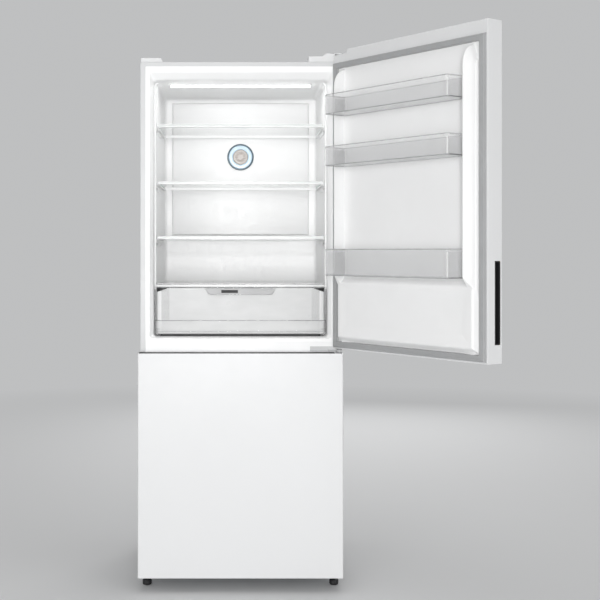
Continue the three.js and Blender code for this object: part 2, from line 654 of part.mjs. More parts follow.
/** Rear roller on its axle. */
function roller(x) {
  const side = [x - ROLLER_WIDTH / 2, x + ROLLER_WIDTH / 2];
  const centre = [ROLLER_Y, ROLLER_RADIUS];
  const wheel = rod('x', ROLLER_RADIUS, side, centre, 32);
  return wheel.subtract(rod('x', ROLLER_AXLE + FIT_GAP, [side[0] - 1, side[1] + 1], centre, 16));
}

// ---------------------------------------------------------------- upper compartment fittings

/** Crowned cover over the air duct on the back wall, open behind. */
function fridgeDuctCover() {
  const outline = (half, side, crown) => {
    const shape = new THREE.Shape();
    shape.moveTo(-half, INSIDE_BACK);
    for (let i = 0; i <= 12; i += 1) {
      const u = i / 6 - 1;
      shape.lineTo(half * u, side - crown * (1 - u * u));
    }
    shape.lineTo(half, INSIDE_BACK);
    shape.closePath();
    return shape;
  };
  const front = INSIDE_BACK - DUCT_SIDE_DEPTH;
  const shell = upright(outline(DUCT_WIDTH / 2, front, DUCT_CROWN), [DUCT_BOTTOM, DUCT_TOP]);
  const hollow = upright(outline(DUCT_WIDTH / 2 - DUCT_WALL, front + DUCT_WALL, DUCT_CROWN),
    [DUCT_BOTTOM + DUCT_WALL, DUCT_TOP - DUCT_WALL]);
  return shell.subtract(hollow);
}

/** Round air purifier housing: a rolled ring round a shallow dished face. */
function purifier() {
  const seat = INSIDE_BACK - DUCT_SIDE_DEPTH - DUCT_CROWN - FIT_GAP;
  const face = PURIFIER_FACE_RADIUS;
  const points = [
    [0, 0], [PURIFIER_RADIUS, 0], [PURIFIER_RADIUS, PURIFIER_DEPTH / 2],
    [PURIFIER_RADIUS - 5, PURIFIER_DEPTH], [face + 5, PURIFIER_DEPTH],
    [face, PURIFIER_DEPTH - 3], [0, PURIFIER_DEPTH - 2],
  ].map(([radius, height]) => new THREE.Vector2(radius, height));
  const geometry = new THREE.LatheGeometry(points, 32);
  geometry.rotateX(Math.PI);
  geometry.translate(0, seat, PURIFIER_Z);
  return toSolid(geometry);
}

/** Lamp bar under the ceiling. */
function ceilingLamp() {
  return block(both(LAMP_WIDTH / 2), [LAMP_FRONT, LAMP_FRONT + LAMP_DEPTH],
    [FRIDGE_CEILING - LAMP_HEIGHT, FRIDGE_CEILING]);
}

/** Glass pane between the side walls with its top at the given height. */
function pane(top, [front, back], half) {
  return block(both(half), [front, back], [top - GLASS, top]);
}

/** Front trim that grips the edge of a pane. */
function paneTrim(top, front, half, drop) {
  const bar = block(both(half), [front, front + TRIM_DEPTH], [top - GLASS - drop, top + TRIM_LIP]);
  return bar.subtract(block(both(half + TRIM_LIP), [front + TRIM_DEPTH / 2, front + 2 * TRIM_DEPTH],
    [top - GLASS, top]));
}

/** Crisper drawer: a rounded clear front on a narrower open box. */
function crisperDrawer() {
  const frontHalf = HALF_SEAT - CRISPER_SIDE_GAP;
  const boxHalf = frontHalf - CRISPER_BOX_INSET;
  const top = CRISPER_COVER_TOP - GLASS - CRISPER_TRIM_DROP - CRISPER_TOP_GAP;
  const faceBack = CRISPER_FRONT + CRISPER_CORNER;
  const face = upright(roundedFront(frontHalf, CRISPER_FRONT, faceBack, CRISPER_CORNER),
    [CRISPER_FRONT_BOTTOM, top], 5);
  const faceHollow = upright(roundedFront(frontHalf - CRISPER_WALL, CRISPER_FRONT + CRISPER_WALL,
    faceBack + CRISPER_WALL, CRISPER_CORNER - CRISPER_WALL),
  [CRISPER_FRONT_BOTTOM - CRISPER_WALL, top + CRISPER_WALL], 5);
  const box = block(both(boxHalf), [CRISPER_FRONT + CRISPER_WALL / 2, CRISPER_BACK],
    [CRISPER_BOTTOM, top - CRISPER_WALL]);
  const inside = block(both(boxHalf - CRISPER_WALL),
    [CRISPER_FRONT + CRISPER_WALL, CRISPER_BACK - CRISPER_WALL],
    [CRISPER_BOTTOM + CRISPER_WALL, top + CRISPER_WALL]);
  return joined([face.subtract(faceHollow), box]).subtract(inside);
}

/** Outline of the trapezium at the top middle of the crisper front, inset all round. */
function handlePanelOutline(inset) {
  const top = CRISPER_COVER_TOP - GLASS - CRISPER_TRIM_DROP - CRISPER_TOP_GAP;
  return [
    [-HANDLE_PANEL_TOP_WIDTH / 2 + inset, top - inset],
    [-HANDLE_PANEL_BOTTOM_WIDTH / 2 + inset, top - HANDLE_PANEL_HEIGHT + inset],
    [HANDLE_PANEL_BOTTOM_WIDTH / 2 - inset, top - HANDLE_PANEL_HEIGHT + inset],
    [HANDLE_PANEL_TOP_WIDTH / 2 - inset, top - inset],
  ];
}

/** Humidity control panel with a track for its slider. */
function crisperHandlePanel() {
  const back = CRISPER_FRONT - FIT_GAP;
  const plate = throughY(handlePanelOutline(0), [back - HANDLE_PANEL_THICKNESS, back]);
  const middle = sliderHeight();
  const track = block([SLIDER_X - SLIDER_TRACK / 2, SLIDER_X + SLIDER_TRACK / 2],
    [back - 2 * HANDLE_PANEL_THICKNESS, back - HANDLE_PANEL_THICKNESS / 2],
    [middle - SLIDER_HEIGHT / 2 - RUNNING_GAP, middle + SLIDER_HEIGHT / 2 + RUNNING_GAP]);
  return plate.subtract(track);
}

/** Height of the middle of the humidity slider. */
function sliderHeight() {
  return CRISPER_COVER_TOP - GLASS - CRISPER_TRIM_DROP - CRISPER_TOP_GAP - HANDLE_PANEL_HEIGHT / 2;
}

/** Ribbed slider of the humidity control. */
function humiditySlider() {
  const back = CRISPER_FRONT - FIT_GAP - HANDLE_PANEL_THICKNESS / 2 - RUNNING_GAP;
  const z = sliderHeight();
  return block([SLIDER_X - SLIDER_WIDTH / 2, SLIDER_X + SLIDER_WIDTH / 2],
    [back - SLIDER_THICKNESS, back], [z - SLIDER_HEIGHT / 2, z + SLIDER_HEIGHT / 2]);
}

// ---------------------------------------------------------------- freezer fittings

/** Clear drawer with side flanges that rest on the liner's runners. */
function freezerDrawer({ bottom, height, back }) {
  const half = HALF_INSIDE - DRAWER_SIDE_GAP;
  const flangeHalf = half + DRAWER_FLANGE;
  const shell = block(both(half), [DRAWER_FRONT, back], [bottom, bottom + height]);
  const hollow = block(both(half - DRAWER_WALL), [DRAWER_FRONT + DRAWER_WALL, back - DRAWER_WALL],
    [bottom + DRAWER_WALL, bottom + height + DRAWER_WALL]);
  const flangeZ = bottom + height - DRAWER_FLANGE_DROP;
  const flange = block([half - DRAWER_WALL, flangeHalf], [DRAWER_FRONT + DRAWER_FLANGE, back],
    [flangeZ, flangeZ + DRAWER_WALL]);
  return joined([shell.subtract(hollow), ...mirrored(flange)]);
}

/** Back wall of the freezer in front of the evaporator, with a spoked fan opening. */
function freezerDuctCover() {
  const wall = [FREEZER_DUCT_FRONT, FREEZER_DUCT_FRONT + FREEZER_DUCT_WALL];
  const past = [wall[0] - 1, wall[1] + 1];
  const plate = block(both(HALF_INSIDE - FREEZER_DUCT_SIDE_GAP), wall,
    [STEP_TOP, FREEZER_CEILING - FREEZER_DUCT_TOP_GAP]);
  const edges = mirrored(block(
    [HALF_INSIDE - FREEZER_DUCT_SIDE_GAP - FREEZER_DUCT_WALL, HALF_INSIDE - FREEZER_DUCT_SIDE_GAP],
    [FREEZER_DUCT_FRONT, INSIDE_BACK], [STEP_TOP, FREEZER_CEILING - FREEZER_DUCT_TOP_GAP]));
  const opening = rod('y', FAN_RADIUS + FAN_OPENING_GAP, past, [0, FAN_Z], 36);
  const spokes = [...Array(FAN_SPOKES / 2).keys()].map((i) => {
    const reach = FAN_RADIUS + 2 * FAN_OPENING_GAP;
    const bar = block(both(reach), past, [-FREEZER_DUCT_WALL, FREEZER_DUCT_WALL]);
    return bar.rotate([0, (i * 360) / FAN_SPOKES, 0]).translate([0, 0, FAN_Z]);
  });
  return cut(joined([plate, ...edges]), [cut(opening, spokes)]);
}

/** Fan motor on the back wall with its shaft. */
function fanMotor() {
  const front = INSIDE_BACK - MOTOR_LENGTH;
  return joined([
    rod('y', MOTOR_RADIUS, [front, INSIDE_BACK], [0, FAN_Z]),
    rod('y', SHAFT_RADIUS, [front - SHAFT_LENGTH, front + 1], [0, FAN_Z], 12),
  ]);
}

/** Fan wheel: a bored hub with flat blades set at an angle. */
function fanBlade() {
  const back = INSIDE_BACK - MOTOR_LENGTH - 2;
  const hub = rod('y', FAN_HUB_RADIUS, [back - FAN_DEPTH, back], [0, 0], 20);
  const blades = [...Array(FAN_BLADES).keys()].map((i) => {
    const blade = block([FAN_HUB_RADIUS / 2, FAN_RADIUS], both(1), [-11, 11]);
    return blade.rotate([28, 0, 0]).translate([0, back - FAN_DEPTH / 2, 0])
      .rotate([0, (i * 360) / FAN_BLADES, 0]);
  });
  const bore = rod('y', SHAFT_RADIUS + FIT_GAP, [back - 2 * FAN_DEPTH, back + FAN_DEPTH], [0, 0], 12);
  return joined([hub, ...blades]).subtract(bore).translate([0, 0, FAN_Z]);
}

/** Finned evaporator on the back wall above the step. */
function evaporator() {
  const base = STEP_TOP + FIT_GAP;
  const front = INSIDE_BACK - EVAPORATOR_DEPTH;
  const body = block(both(EVAPORATOR_WIDTH / 2), [front, INSIDE_BACK],
    [base, base + EVAPORATOR_HEIGHT]);
  const count = Math.floor(EVAPORATOR_WIDTH / FIN_PITCH);
  const gaps = [...Array(count).keys()].map((i) => {
    const x = (i + 0.5 - count / 2) * FIN_PITCH;
    return block([x - FIN_GAP / 2, x + FIN_GAP / 2], [front - 1, INSIDE_BACK - SHEET * 3],
      [base - 1, base + EVAPORATOR_HEIGHT + 1]);
  });
  return cut(body, gaps);
}

// ---------------------------------------------------------------- machine room

/** Hermetic compressor: a domed can on a mounting plate. */
function compressor() {
  const r = COMPRESSOR_RADIUS;
  const base = BASE_TOP + 2 * SHEET;
  const top = base + COMPRESSOR_HEIGHT;
  const h = COMPRESSOR_HEIGHT;
  const seam = COMPRESSOR_SEAM;
  const can = turned([
    [0, base - SHEET], [r * 0.7, base - SHEET], [r * 0.94, base + h * 0.15], [r, base + h * 0.4],
    [r + seam, base + h * 0.42], [r + seam, base + h * 0.45], [r, base + h * 0.47],
    [r * 0.92, top - h * 0.2], [r * 0.6, top - h * 0.04], [r * 0.3, top], [0, top],
  ], COMPRESSOR_X, COMPRESSOR_Y);
  const plate = block([COMPRESSOR_X - r, COMPRESSOR_X + r], [COMPRESSOR_Y - r, COMPRESSOR_Y + r],
    [BASE_TOP, base]);
  return can.add(plate);
}

/** Tray on the compressor that evaporates the defrost water. */
function drainPan() {
  const bottom = BASE_TOP + 2 * SHEET + COMPRESSOR_HEIGHT + FIT_GAP;
  const x = [COMPRESSOR_X - DRAIN_PAN_WIDTH / 2, COMPRESSOR_X + DRAIN_PAN_WIDTH / 2];
  const y = [COMPRESSOR_Y - DRAIN_PAN_DEPTH / 2, COMPRESSOR_Y + DRAIN_PAN_DEPTH / 2];
  const grow = ([low, high], by) => [low + by, high - by];
  return block(x, y, [bottom, bottom + DRAIN_PAN_HEIGHT]).subtract(
    block(grow(x, LINER), grow(y, LINER), [bottom + LINER, bottom + 2 * DRAIN_PAN_HEIGHT]));
}

/** A polyline whose steps fall on its own points, however unevenly they are spaced. */
class Polyline extends THREE.Curve {
  constructor(points) {
    super();
    this.points = points;
  }

  getPoint(t) {
    const place = t * (this.points.length - 1);
    const i = Math.min(Math.floor(place), this.points.length - 2);
    return this.points[i].clone().lerp(this.points[i + 1], place - i);
  }

  getPointAt(t) {
    return this.getPoint(t);
  }

  getTangentAt(t) {
    const last = this.points.length - 1;
    const i = Math.round(t * last);
    const before = this.points[Math.max(i - 1, 0)];
    return this.points[Math.min(i + 1, last)].clone().sub(before).normalize();
  }
}

/** Serpentine condenser: straight runs joined by half circles, standing on the base. */
function condenser() {
  const radius = CONDENSER_PITCH / 2;
  const bottom = BASE_TOP + CONDENSER_TUBE + FIT_GAP;
  const ends = [CONDENSER_LEFT + radius, CONDENSER_RIGHT - radius];
  const points = [];
  for (let run = 0; run < CONDENSER_RUNS; run += 1) {
    const side = run % 2 ? 0 : 1;
    const z = bottom + run * CONDENSER_PITCH;
    points.push([ends[1 - side], z], [ends[side], z]);
    for (let k = 1; k < 5 && run < CONDENSER_RUNS - 1; k += 1) {
      const angle = (k / 5) * Math.PI;
      const bulge = (side ? 1 : -1) * radius * Math.sin(angle);
      points.push([ends[side] + bulge, z + radius * (1 - Math.cos(angle))]);
    }
  }
  const path = new Polyline(points.map(([x, z]) => new THREE.Vector3(x, COMPRESSOR_Y, z)));
  const section = new THREE.Shape();
  section.absarc(0, 0, CONDENSER_TUBE, 0, 2 * Math.PI, false);
  return toSolid(new THREE.ExtrudeGeometry(section, {
    steps: points.length - 1, bevelEnabled: false, curveSegments: 3, extrudePath: path,
  }));
}

// ---------------------------------------------------------------- doors

/** Cut-out for the hinge arm at the top corner of the upper door. */
function hingeNotch() {
  return block([DOOR_HALF - NOTCH_WIDTH, DOOR_HALF + 1], [PIN_Y - NOTCH_REACH, DOOR_BACK + 1],
    [FRIDGE_DOOR_TOP - NOTCH_HEIGHT, FRIDGE_DOOR_TOP + 1]);
}

/** Space that a door's handle pocket takes out of its free side. */
function handleSpace(bottom, gap = 0) {
  const front = DOOR_FRONT + HANDLE_SETBACK;
  return block([-DOOR_HALF - (gap ? 1 : 0), -DOOR_HALF + HANDLE_DEPTH + gap],
    [front - gap, front + HANDLE_WIDTH + gap], [bottom - gap, bottom + HANDLE_LENGTH + gap]);
}

/** Steel front of a door, folded back along both sides and turned in behind. */
function doorPanel({ bottom, top, capTop, handle, notched }) {
  const depth = [DOOR_FRONT, DOOR_BACK];
  const outer = roundedFront(DOOR_HALF, ...depth, DOOR_EDGE_RADIUS);
  const inner = roundedFront(DOOR_HALF - DOOR_SHEET, DOOR_FRONT + DOOR_SHEET,
    DOOR_BACK - DOOR_SHEET, DOOR_EDGE_RADIUS - DOOR_SHEET);
  const past = [bottom - 1, top + 1];
  const behind = [DOOR_BACK - 2 * DOOR_SHEET, DOOR_BACK + 1];
  const cutters = [
    upright(inner, past),
    block(both(DOOR_HALF - DOOR_RETURN), behind, past),
    block(both(DOOR_HALF - DOOR_SHEET), behind, [bottom - 1, bottom + CAP_HEIGHT + FIT_GAP]),
    block(both(DOOR_HALF - DOOR_SHEET), behind, [top - capTop - FIT_GAP, top + 1]),
    handleSpace(handle, FIT_GAP),
    ...(notched ? [hingeNotch()] : []),
  ];
  return cut(upright(outer, [bottom, top]), cutters);
}

/** Plastic cap that closes a door's top or bottom, hollow towards the foam, with a pin hole. */
function doorCap([z0, z1], opensDown, pinEnd, notched) {
  const side = DOOR_HALF - DOOR_SHEET - FIT_GAP;
  const front = DOOR_FRONT + DOOR_SHEET + FIT_GAP;
  const radius = DOOR_EDGE_RADIUS - DOOR_SHEET;
  const body = upright(roundedFront(side, front, DOOR_BACK, radius), [z0, z1]);
  const hollowZ = opensDown ? [z0 - 1, z1 - NOTCH_HEIGHT - CAP_WALL] : [z0 + CAP_WALL, z1 + 1];
  const hollow = block([-side + CAP_WALL, side - 2 * NOTCH_WIDTH],
    [front + CAP_WALL, DOOR_BACK - CAP_WALL], hollowZ);
  const hole = rod('z', PIN_HOLE, pinEnd, [PIN_X, PIN_Y]);
  return cut(body, [hollow, hole, ...(notched ? [hingeNotch()] : [])]);
}

/** Foam core of a door between its caps. */
function doorFoam({ bottom, top, capTop, handle }) {
  const core = block(both(DOOR_HALF - DOOR_SHEET - FIT_GAP),
    [DOOR_FRONT + DOOR_EDGE_RADIUS, DOOR_BACK - DOOR_LINER - FIT_GAP],
    [bottom + CAP_HEIGHT + FIT_GAP, top - capTop - FIT_GAP]);
  return core.subtract(handleSpace(handle, FIT_GAP));
}

/** Dark pocket that the fingers go into. */
function handlePocket(bottom) {
  const front = DOOR_FRONT + HANDLE_SETBACK;
  const hollow = block([-DOOR_HALF - 1, -DOOR_HALF + HANDLE_DEPTH - HANDLE_WALL],
    [front + HANDLE_WALL, front + HANDLE_WIDTH - HANDLE_WALL],
    [bottom + HANDLE_WALL, bottom + HANDLE_LENGTH - HANDLE_WALL]);
  return handleSpace(bottom).subtract(hollow);
}

/** Magnetic gasket: a ring that narrows towards the cabinet. */
function gasket([z0, z1]) {
  const half = DOOR_HALF - GASKET_INSET;
  const ring = (inset) => ({ x: both(half - inset), z: [z0 + inset, z1 - inset] });
  const y0 = DOOR_BACK + FIT_GAP;
  const y1 = -GASKET_SEAT_GAP;
  const outer = frustum(y0, ring(0), y1, ring(GASKET_TAPER));
  const inner = frustum(y0 - 1, ring(GASKET_WIDTH), y1 + 1, ring(GASKET_WIDTH - GASKET_TAPER / 2));
  return outer.subtract(inner);
}

/** Inner sheet of a door without its raised forms. */
function doorSheet({ bottom, top, capTop }) {
  return block(both(DOOR_HALF - DOOR_RETURN - FIT_GAP), [DOOR_BACK - DOOR_LINER, DOOR_BACK],
    [bottom + CAP_HEIGHT + FIT_GAP, top - capTop - FIT_GAP]);
}

/** Inner sheet of the upper door: two ridges that hold the baskets and a raised lower panel. */
function fridgeDoorLiner(door) {
  const root = DOOR_BACK - DOOR_LINER / 2;
  const ridge = frustum(root, { x: [RIDGE_INNER, RIDGE_ROOT], z: [RIDGE_BOTTOM, RIDGE_TOP] },
    DOOR_BACK + RIDGE_HEIGHT,
    { x: [RIDGE_INNER, RIDGE_OUTER], z: [RIDGE_BOTTOM + 2, RIDGE_TOP - RIDGE_RAKE] });
  const panel = frustum(root, { x: both(RIDGE_ROOT), z: [PANEL_BOTTOM, RIDGE_BOTTOM + 2] },
    DOOR_BACK + PANEL_HEIGHT, {
      x: both(RIDGE_ROOT - PANEL_SLOPE),
      z: [PANEL_BOTTOM + PANEL_SLOPE, RIDGE_BOTTOM - PANEL_SLOPE / 2],
    });
  const lugs = Object.values(BASKETS).flatMap(({ bottom, height }) => {
    const top = bottom + height - BASKET_RIM - FIT_GAP;
    return mirrored(block([BASKET_WIDTH / 2 - BASKET_RIM + RUNNING_GAP, RIDGE_INNER + 1],
      [root, root + LUG_DEPTH], [top - LUG_HEIGHT, top]));
  });
  return joined([doorSheet(door), ...mirrored(ridge), panel, ...lugs]);
}

/** Inner sheet of the freezer door with its shallow raised panel. */
function freezerDoorLiner(door, [z0, z1]) {
  const inset = GASKET_WIDTH + GASKET_INSET;
  const panel = frustum(DOOR_BACK - DOOR_LINER / 2,
    { x: both(RIDGE_ROOT), z: [z0 + inset, z1 - inset] },
    DOOR_BACK + FREEZER_PANEL_HEIGHT,
    { x: both(RIDGE_ROOT - PANEL_SLOPE), z: [z0 + inset + PANEL_SLOPE, z1 - inset - PANEL_SLOPE] });
  return doorSheet(door).add(panel);
}

/** Clear door basket with rounded front corners and a rim that rests on the ridge lugs. */
function doorBasket({ bottom, height }) {
  const top = bottom + height;
  const back = DOOR_BACK + FIT_GAP;
  const front = DOOR_BACK + BASKET_REACH;
  const half = BASKET_WIDTH / 2 - BASKET_RIM;
  // The plan is drawn with its rounded side towards -Y and turned to face into the cabinet.
  const plan = (inset) => roundedFront(half - inset, -front + inset, -back - inset,
    BASKET_CORNER - inset);
  const bowl = upright(plan(0), [bottom, top]).subtract(
    upright(plan(BASKET_WALL), [bottom + BASKET_WALL, top + 1])).rotate([0, 0, 180]);
  const rim = block([half - BASKET_WALL, half + BASKET_RIM], [back, front - BASKET_CORNER],
    [top - BASKET_RIM, top]);
  return joined([bowl, ...mirrored(rim)]);
}

// ---------------------------------------------------------------- assembly

const refrigerator = new THREE.Group();
const cabinet = new THREE.Group();

cabinet.add(
  part('cabinet_wrapper', cabinetWrapper(), WHITE_STEEL),
  part('back_panel', backPanel(), GALVANISED),
  part('rear_cover', rearCover(), GALVANISED),
  part('base_tray', baseTray(), GALVANISED),
  part('cabinet_foam', cabinetFoam(), FOAM),
  part('fridge_liner', fridgeLiner(), LINER_PLASTIC),
  part('freezer_liner', freezerLiner(), LINER_PLASTIC),
  part('cross_rail', crossRail(), WHITE_STEEL),
  part('top_hinge_bracket', topHingeBracket(), GALVANISED),
  part('top_hinge_cover', topHingeCover(), TRIM_PLASTIC),
  part('top_left_cover', topLeftCover(), TRIM_PLASTIC),
  part('middle_hinge_bracket', middleHingeBracket(), GALVANISED),
  part('bottom_hinge_bracket', bottomHingeBracket(), GALVANISED),
  part('foot_left', foot(-FOOT_X), DARK_PLASTIC),
  part('foot_right', foot(FOOT_X), DARK_PLASTIC),
  part('roller_left', roller(-ROLLER_X), DARK_PLASTIC),
  part('roller_right', roller(ROLLER_X), DARK_PLASTIC),
  part('cord_gland', cordGland(), DARK_PLASTIC),
);

cabinet.add(
  part('fridge_duct_cover', fridgeDuctCover(), LINER_PLASTIC),
  part('purifier', purifier(), BLUE_PLASTIC),
  part('ceiling_lamp', ceilingLamp(), LAMP_LENS),
);
const shelfHalf = HALF_INSIDE - SHELF_SIDE_GAP;
SHELF_TOPS.forEach((top, i) => {
  const glass = pane(top, [SHELF_FRONT + TRIM_DEPTH / 2, SHELF_BACK], shelfHalf);
  const trim = paneTrim(top, SHELF_FRONT, shelfHalf, TRIM_DROP);
  cabinet.add(part(`shelf_${i + 1}_glass`, glass, GLASS_PANE));
  cabinet.add(part(`shelf_${i + 1}_trim`, trim, TRIM_PLASTIC));
});
cabinet.add(
  part('crisper_cover_glass', pane(CRISPER_COVER_TOP,
    [CRISPER_COVER_FRONT + TRIM_DEPTH / 2, CRISPER_COVER_BACK], shelfHalf), GLASS_PANE),
  part('crisper_cover_trim', paneTrim(CRISPER_COVER_TOP, CRISPER_COVER_FRONT, shelfHalf,
    CRISPER_TRIM_DROP), TRIM_PLASTIC),
  part('crisper_drawer', crisperDrawer(), CLEAR_PLASTIC),
  part('crisper_handle_panel', crisperHandlePanel(), CLEAR_PLASTIC),
  part('humidity_slider', humiditySlider(), DARK_PLASTIC),
);

Object.entries(DRAWERS).forEach(([name, sizes]) => {
  cabinet.add(part(`freezer_drawer_${name}`, freezerDrawer(sizes), CLEAR_PLASTIC));
});
cabinet.add(
  part('freezer_duct_cover', freezerDuctCover(), LINER_PLASTIC),
  part('evaporator', evaporator(), ALUMINIUM),
  part('fan_motor', fanMotor(), BLACK_ENAMEL),
  part('fan_blade', fanBlade(), TRIM_PLASTIC),
  part('compressor', compressor(), BLACK_ENAMEL),
  part('drain_pan', drainPan(), TRIM_PLASTIC),
  part('condenser', condenser(), COPPER),
);

const FRIDGE_DOOR = {
  bottom: FRIDGE_DOOR_BOTTOM,
  top: FRIDGE_DOOR_TOP,
  capTop: FRIDGE_CAP_TOP,
  handle: FRIDGE_HANDLE_BOTTOM,
  notched: true,
};
const FREEZER_DOOR = {
  bottom: FREEZER_DOOR_BOTTOM,
  top: FREEZER_DOOR_TOP,
  capTop: CAP_HEIGHT,
  handle: FREEZER_HANDLE_BOTTOM,
  notched: false,
};

/** The pieces that both doors have, in the closed position. */
function doorParts(name, door, liner, gasketSpan) {
  const { bottom, top, capTop, handle, notched } = door;
  const depth = PIN_LENGTH + NOTCH_HEIGHT;
  return [
    part(`${name}_panel`, doorPanel(door), WHITE_STEEL),
    part(`${name}_foam`, doorFoam(door), FOAM),
    part(`${name}_liner`, liner, LINER_PLASTIC),
    part(`${name}_cap_top`, doorCap([top - capTop, top], true, [top - depth, top + 1], notched),
      TRIM_PLASTIC),
    part(`${name}_cap_bottom`, doorCap([bottom, bottom + CAP_HEIGHT], false,
      [bottom - 1, bottom + PIN_LENGTH + 2], false), TRIM_PLASTIC),
    part(`${name}_gasket`, gasket(gasketSpan), GASKET_RUBBER),
    part(`${name}_handle_pocket`, handlePocket(handle), DARK_PLASTIC),
  ];
}

const fridgeGasket = [FRIDGE_DOOR_BOTTOM + GASKET_INSET, FRIDGE_DOOR_TOP - FRIDGE_GASKET_DROP];
const freezerGasket = [FREEZER_DOOR_BOTTOM + FREEZER_GASKET_RISE, FREEZER_DOOR_TOP - GASKET_INSET];

// The upper door turns about its pins; its pieces are drawn closed inside the turned group.
const fridgeDoor = new THREE.Group();
const closedPieces = new THREE.Group();
closedPieces.position.set(-PIN_X, -PIN_Y, 0);
closedPieces.add(...doorParts('fridge_door', FRIDGE_DOOR, fridgeDoorLiner(FRIDGE_DOOR),
  fridgeGasket));
Object.entries(BASKETS).forEach(([name, sizes]) => {
  closedPieces.add(part(`door_basket_${name}`, doorBasket(sizes), CLEAR_PLASTIC));
});
fridgeDoor.add(closedPieces);
fridgeDoor.position.set(PIN_X, PIN_Y, 0);
fridgeDoor.rotation.z = THREE.MathUtils.degToRad(DOOR_OPEN_DEG);

const freezerDoor = new THREE.Group();
freezerDoor.add(...doorParts('freezer_door', FREEZER_DOOR,
  freezerDoorLiner(FREEZER_DOOR, freezerGasket), freezerGasket));

refrigerator.add(cabinet, fridgeDoor, freezerDoor);

// Whole-millimetre shift of the footprint's middle to the origin.
refrigerator.updateMatrixWorld(true);
const middle = new THREE.Box3().setFromObject(refrigerator, true).getCenter(new THREE.Vector3());
refrigerator.position.set(-Math.round(middle.x), -Math.round(middle.y), 0);

export default refrigerator;
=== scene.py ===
"""Finished look of a bottom-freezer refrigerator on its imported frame.

The script loads the frame, forms the visible pieces over it and gives every piece its finish.
Lengths inside the forming functions are millimetres in the drawing's coordinates: x to the
right of someone facing the doors, y from the cabinet's front plane backwards, z up from the
floor, with both doors shut. A placement turns them into metres in the frame.
"""

import json
import math

import bmesh
import bpy
import numpy as np
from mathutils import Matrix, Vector


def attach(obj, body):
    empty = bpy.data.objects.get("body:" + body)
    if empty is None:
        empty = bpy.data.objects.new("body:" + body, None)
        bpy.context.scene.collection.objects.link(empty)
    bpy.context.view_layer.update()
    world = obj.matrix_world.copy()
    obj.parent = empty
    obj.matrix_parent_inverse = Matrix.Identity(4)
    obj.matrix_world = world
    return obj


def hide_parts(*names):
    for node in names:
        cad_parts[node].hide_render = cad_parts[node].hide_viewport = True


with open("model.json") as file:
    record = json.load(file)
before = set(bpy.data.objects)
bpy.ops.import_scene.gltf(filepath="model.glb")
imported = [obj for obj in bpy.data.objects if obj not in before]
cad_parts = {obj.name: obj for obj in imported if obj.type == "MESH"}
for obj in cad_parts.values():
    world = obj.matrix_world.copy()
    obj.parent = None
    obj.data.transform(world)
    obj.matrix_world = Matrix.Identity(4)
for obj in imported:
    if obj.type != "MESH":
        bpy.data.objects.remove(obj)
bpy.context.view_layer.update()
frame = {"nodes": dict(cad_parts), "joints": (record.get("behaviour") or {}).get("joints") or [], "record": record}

bl_info = {
    "name": "Bottom-Freezer Refrigerator",
    "version": (1, 0, 0),
    "blender": (4, 5, 0),
    "location": "View3D > Sidebar > Refrigerator",
    "description": "Forms and finishes the pieces of a bottom-freezer refrigerator",
    "category": "Object",
}

MM = 0.001  # metres in a millimetre
MERGE_DISTANCE = 1e-6  # metres
CREASE_ANGLE = 32  # degrees; edges sharper than this stay crisp
BEVEL_ANGLE = 40  # degrees; edges sharper than this are eased
LEAST_RADIUS = 0.02
SHELVES = ("shelf_1", "shelf_2", "shelf_3")
FREEZER_DRAWERS = ("freezer_drawer_upper", "freezer_drawer_middle", "freezer_drawer_lower")
BASKETS = ("upper", "middle", "lower")


# ---------------------------------------------------------------- placement


def node_points(node):
    """The corner points of a CAD node in millimetres, in the frame."""
    mesh = frame["nodes"][node].data
    points = np.empty(len(mesh.vertices) * 3, np.float32)
    mesh.vertices.foreach_get("co", points)
    return points.reshape(-1, 3).astype(float) / MM


def frame_shift():
    """Where the drawing's origin lies in the frame: the middle of the cabinet's front, on the
    floor."""
    points = node_points("cabinet_wrapper")
    low, high = points.min(axis=0), points.max(axis=0)
    return np.array([(low[0] + high[0]) / 2, low[1], 0.0])


SHIFT = frame_shift()


def hinge_of(joint):
    """A hinge's pin in the drawing's x and y, and the angle from shut to its place at rest."""
    found = next(j for j in frame["joints"] if j["name"] == joint)
    pin = np.array(found["pos_m"][:2]) / MM - SHIFT[:2]
    return pin, -math.radians(found["range_deg"][0])


DOOR_PIN, DOOR_ANGLE = hinge_of("fridge_door_hinge")


def turned_about_pin(points, angle):
    """Points turned about the upper door's pin: (x, y) - pin is multiplied by the rotation of
    that angle."""
    cosine, sine = math.cos(angle), math.sin(angle)
    x, y = points[..., 0] - DOOR_PIN[0], points[..., 1] - DOOR_PIN[1]
    turned = [DOOR_PIN[0] + x * cosine - y * sine, DOOR_PIN[1] + x * sine + y * cosine]
    return np.stack([*turned, points[..., 2]], axis=-1)


def on_cabinet(points):
    """Drawing millimetres to frame metres for what stays with the cabinet."""
    return (points + SHIFT) * MM


def on_upper_door(points):
    """Drawing millimetres to frame metres for what hangs on the open upper door."""
    return (turned_about_pin(points, DOOR_ANGLE) + SHIFT) * MM


def extent(node, on_door=False):
    """Lowest and highest corner of a CAD node in the drawing's millimetres, doors shut."""
    points = node_points(node) - SHIFT
    if on_door:
        points = turned_about_pin(points, -DOOR_ANGLE)
    return points.min(axis=0).round(2), points.max(axis=0).round(2)


# ---------------------------------------------------------------- forms


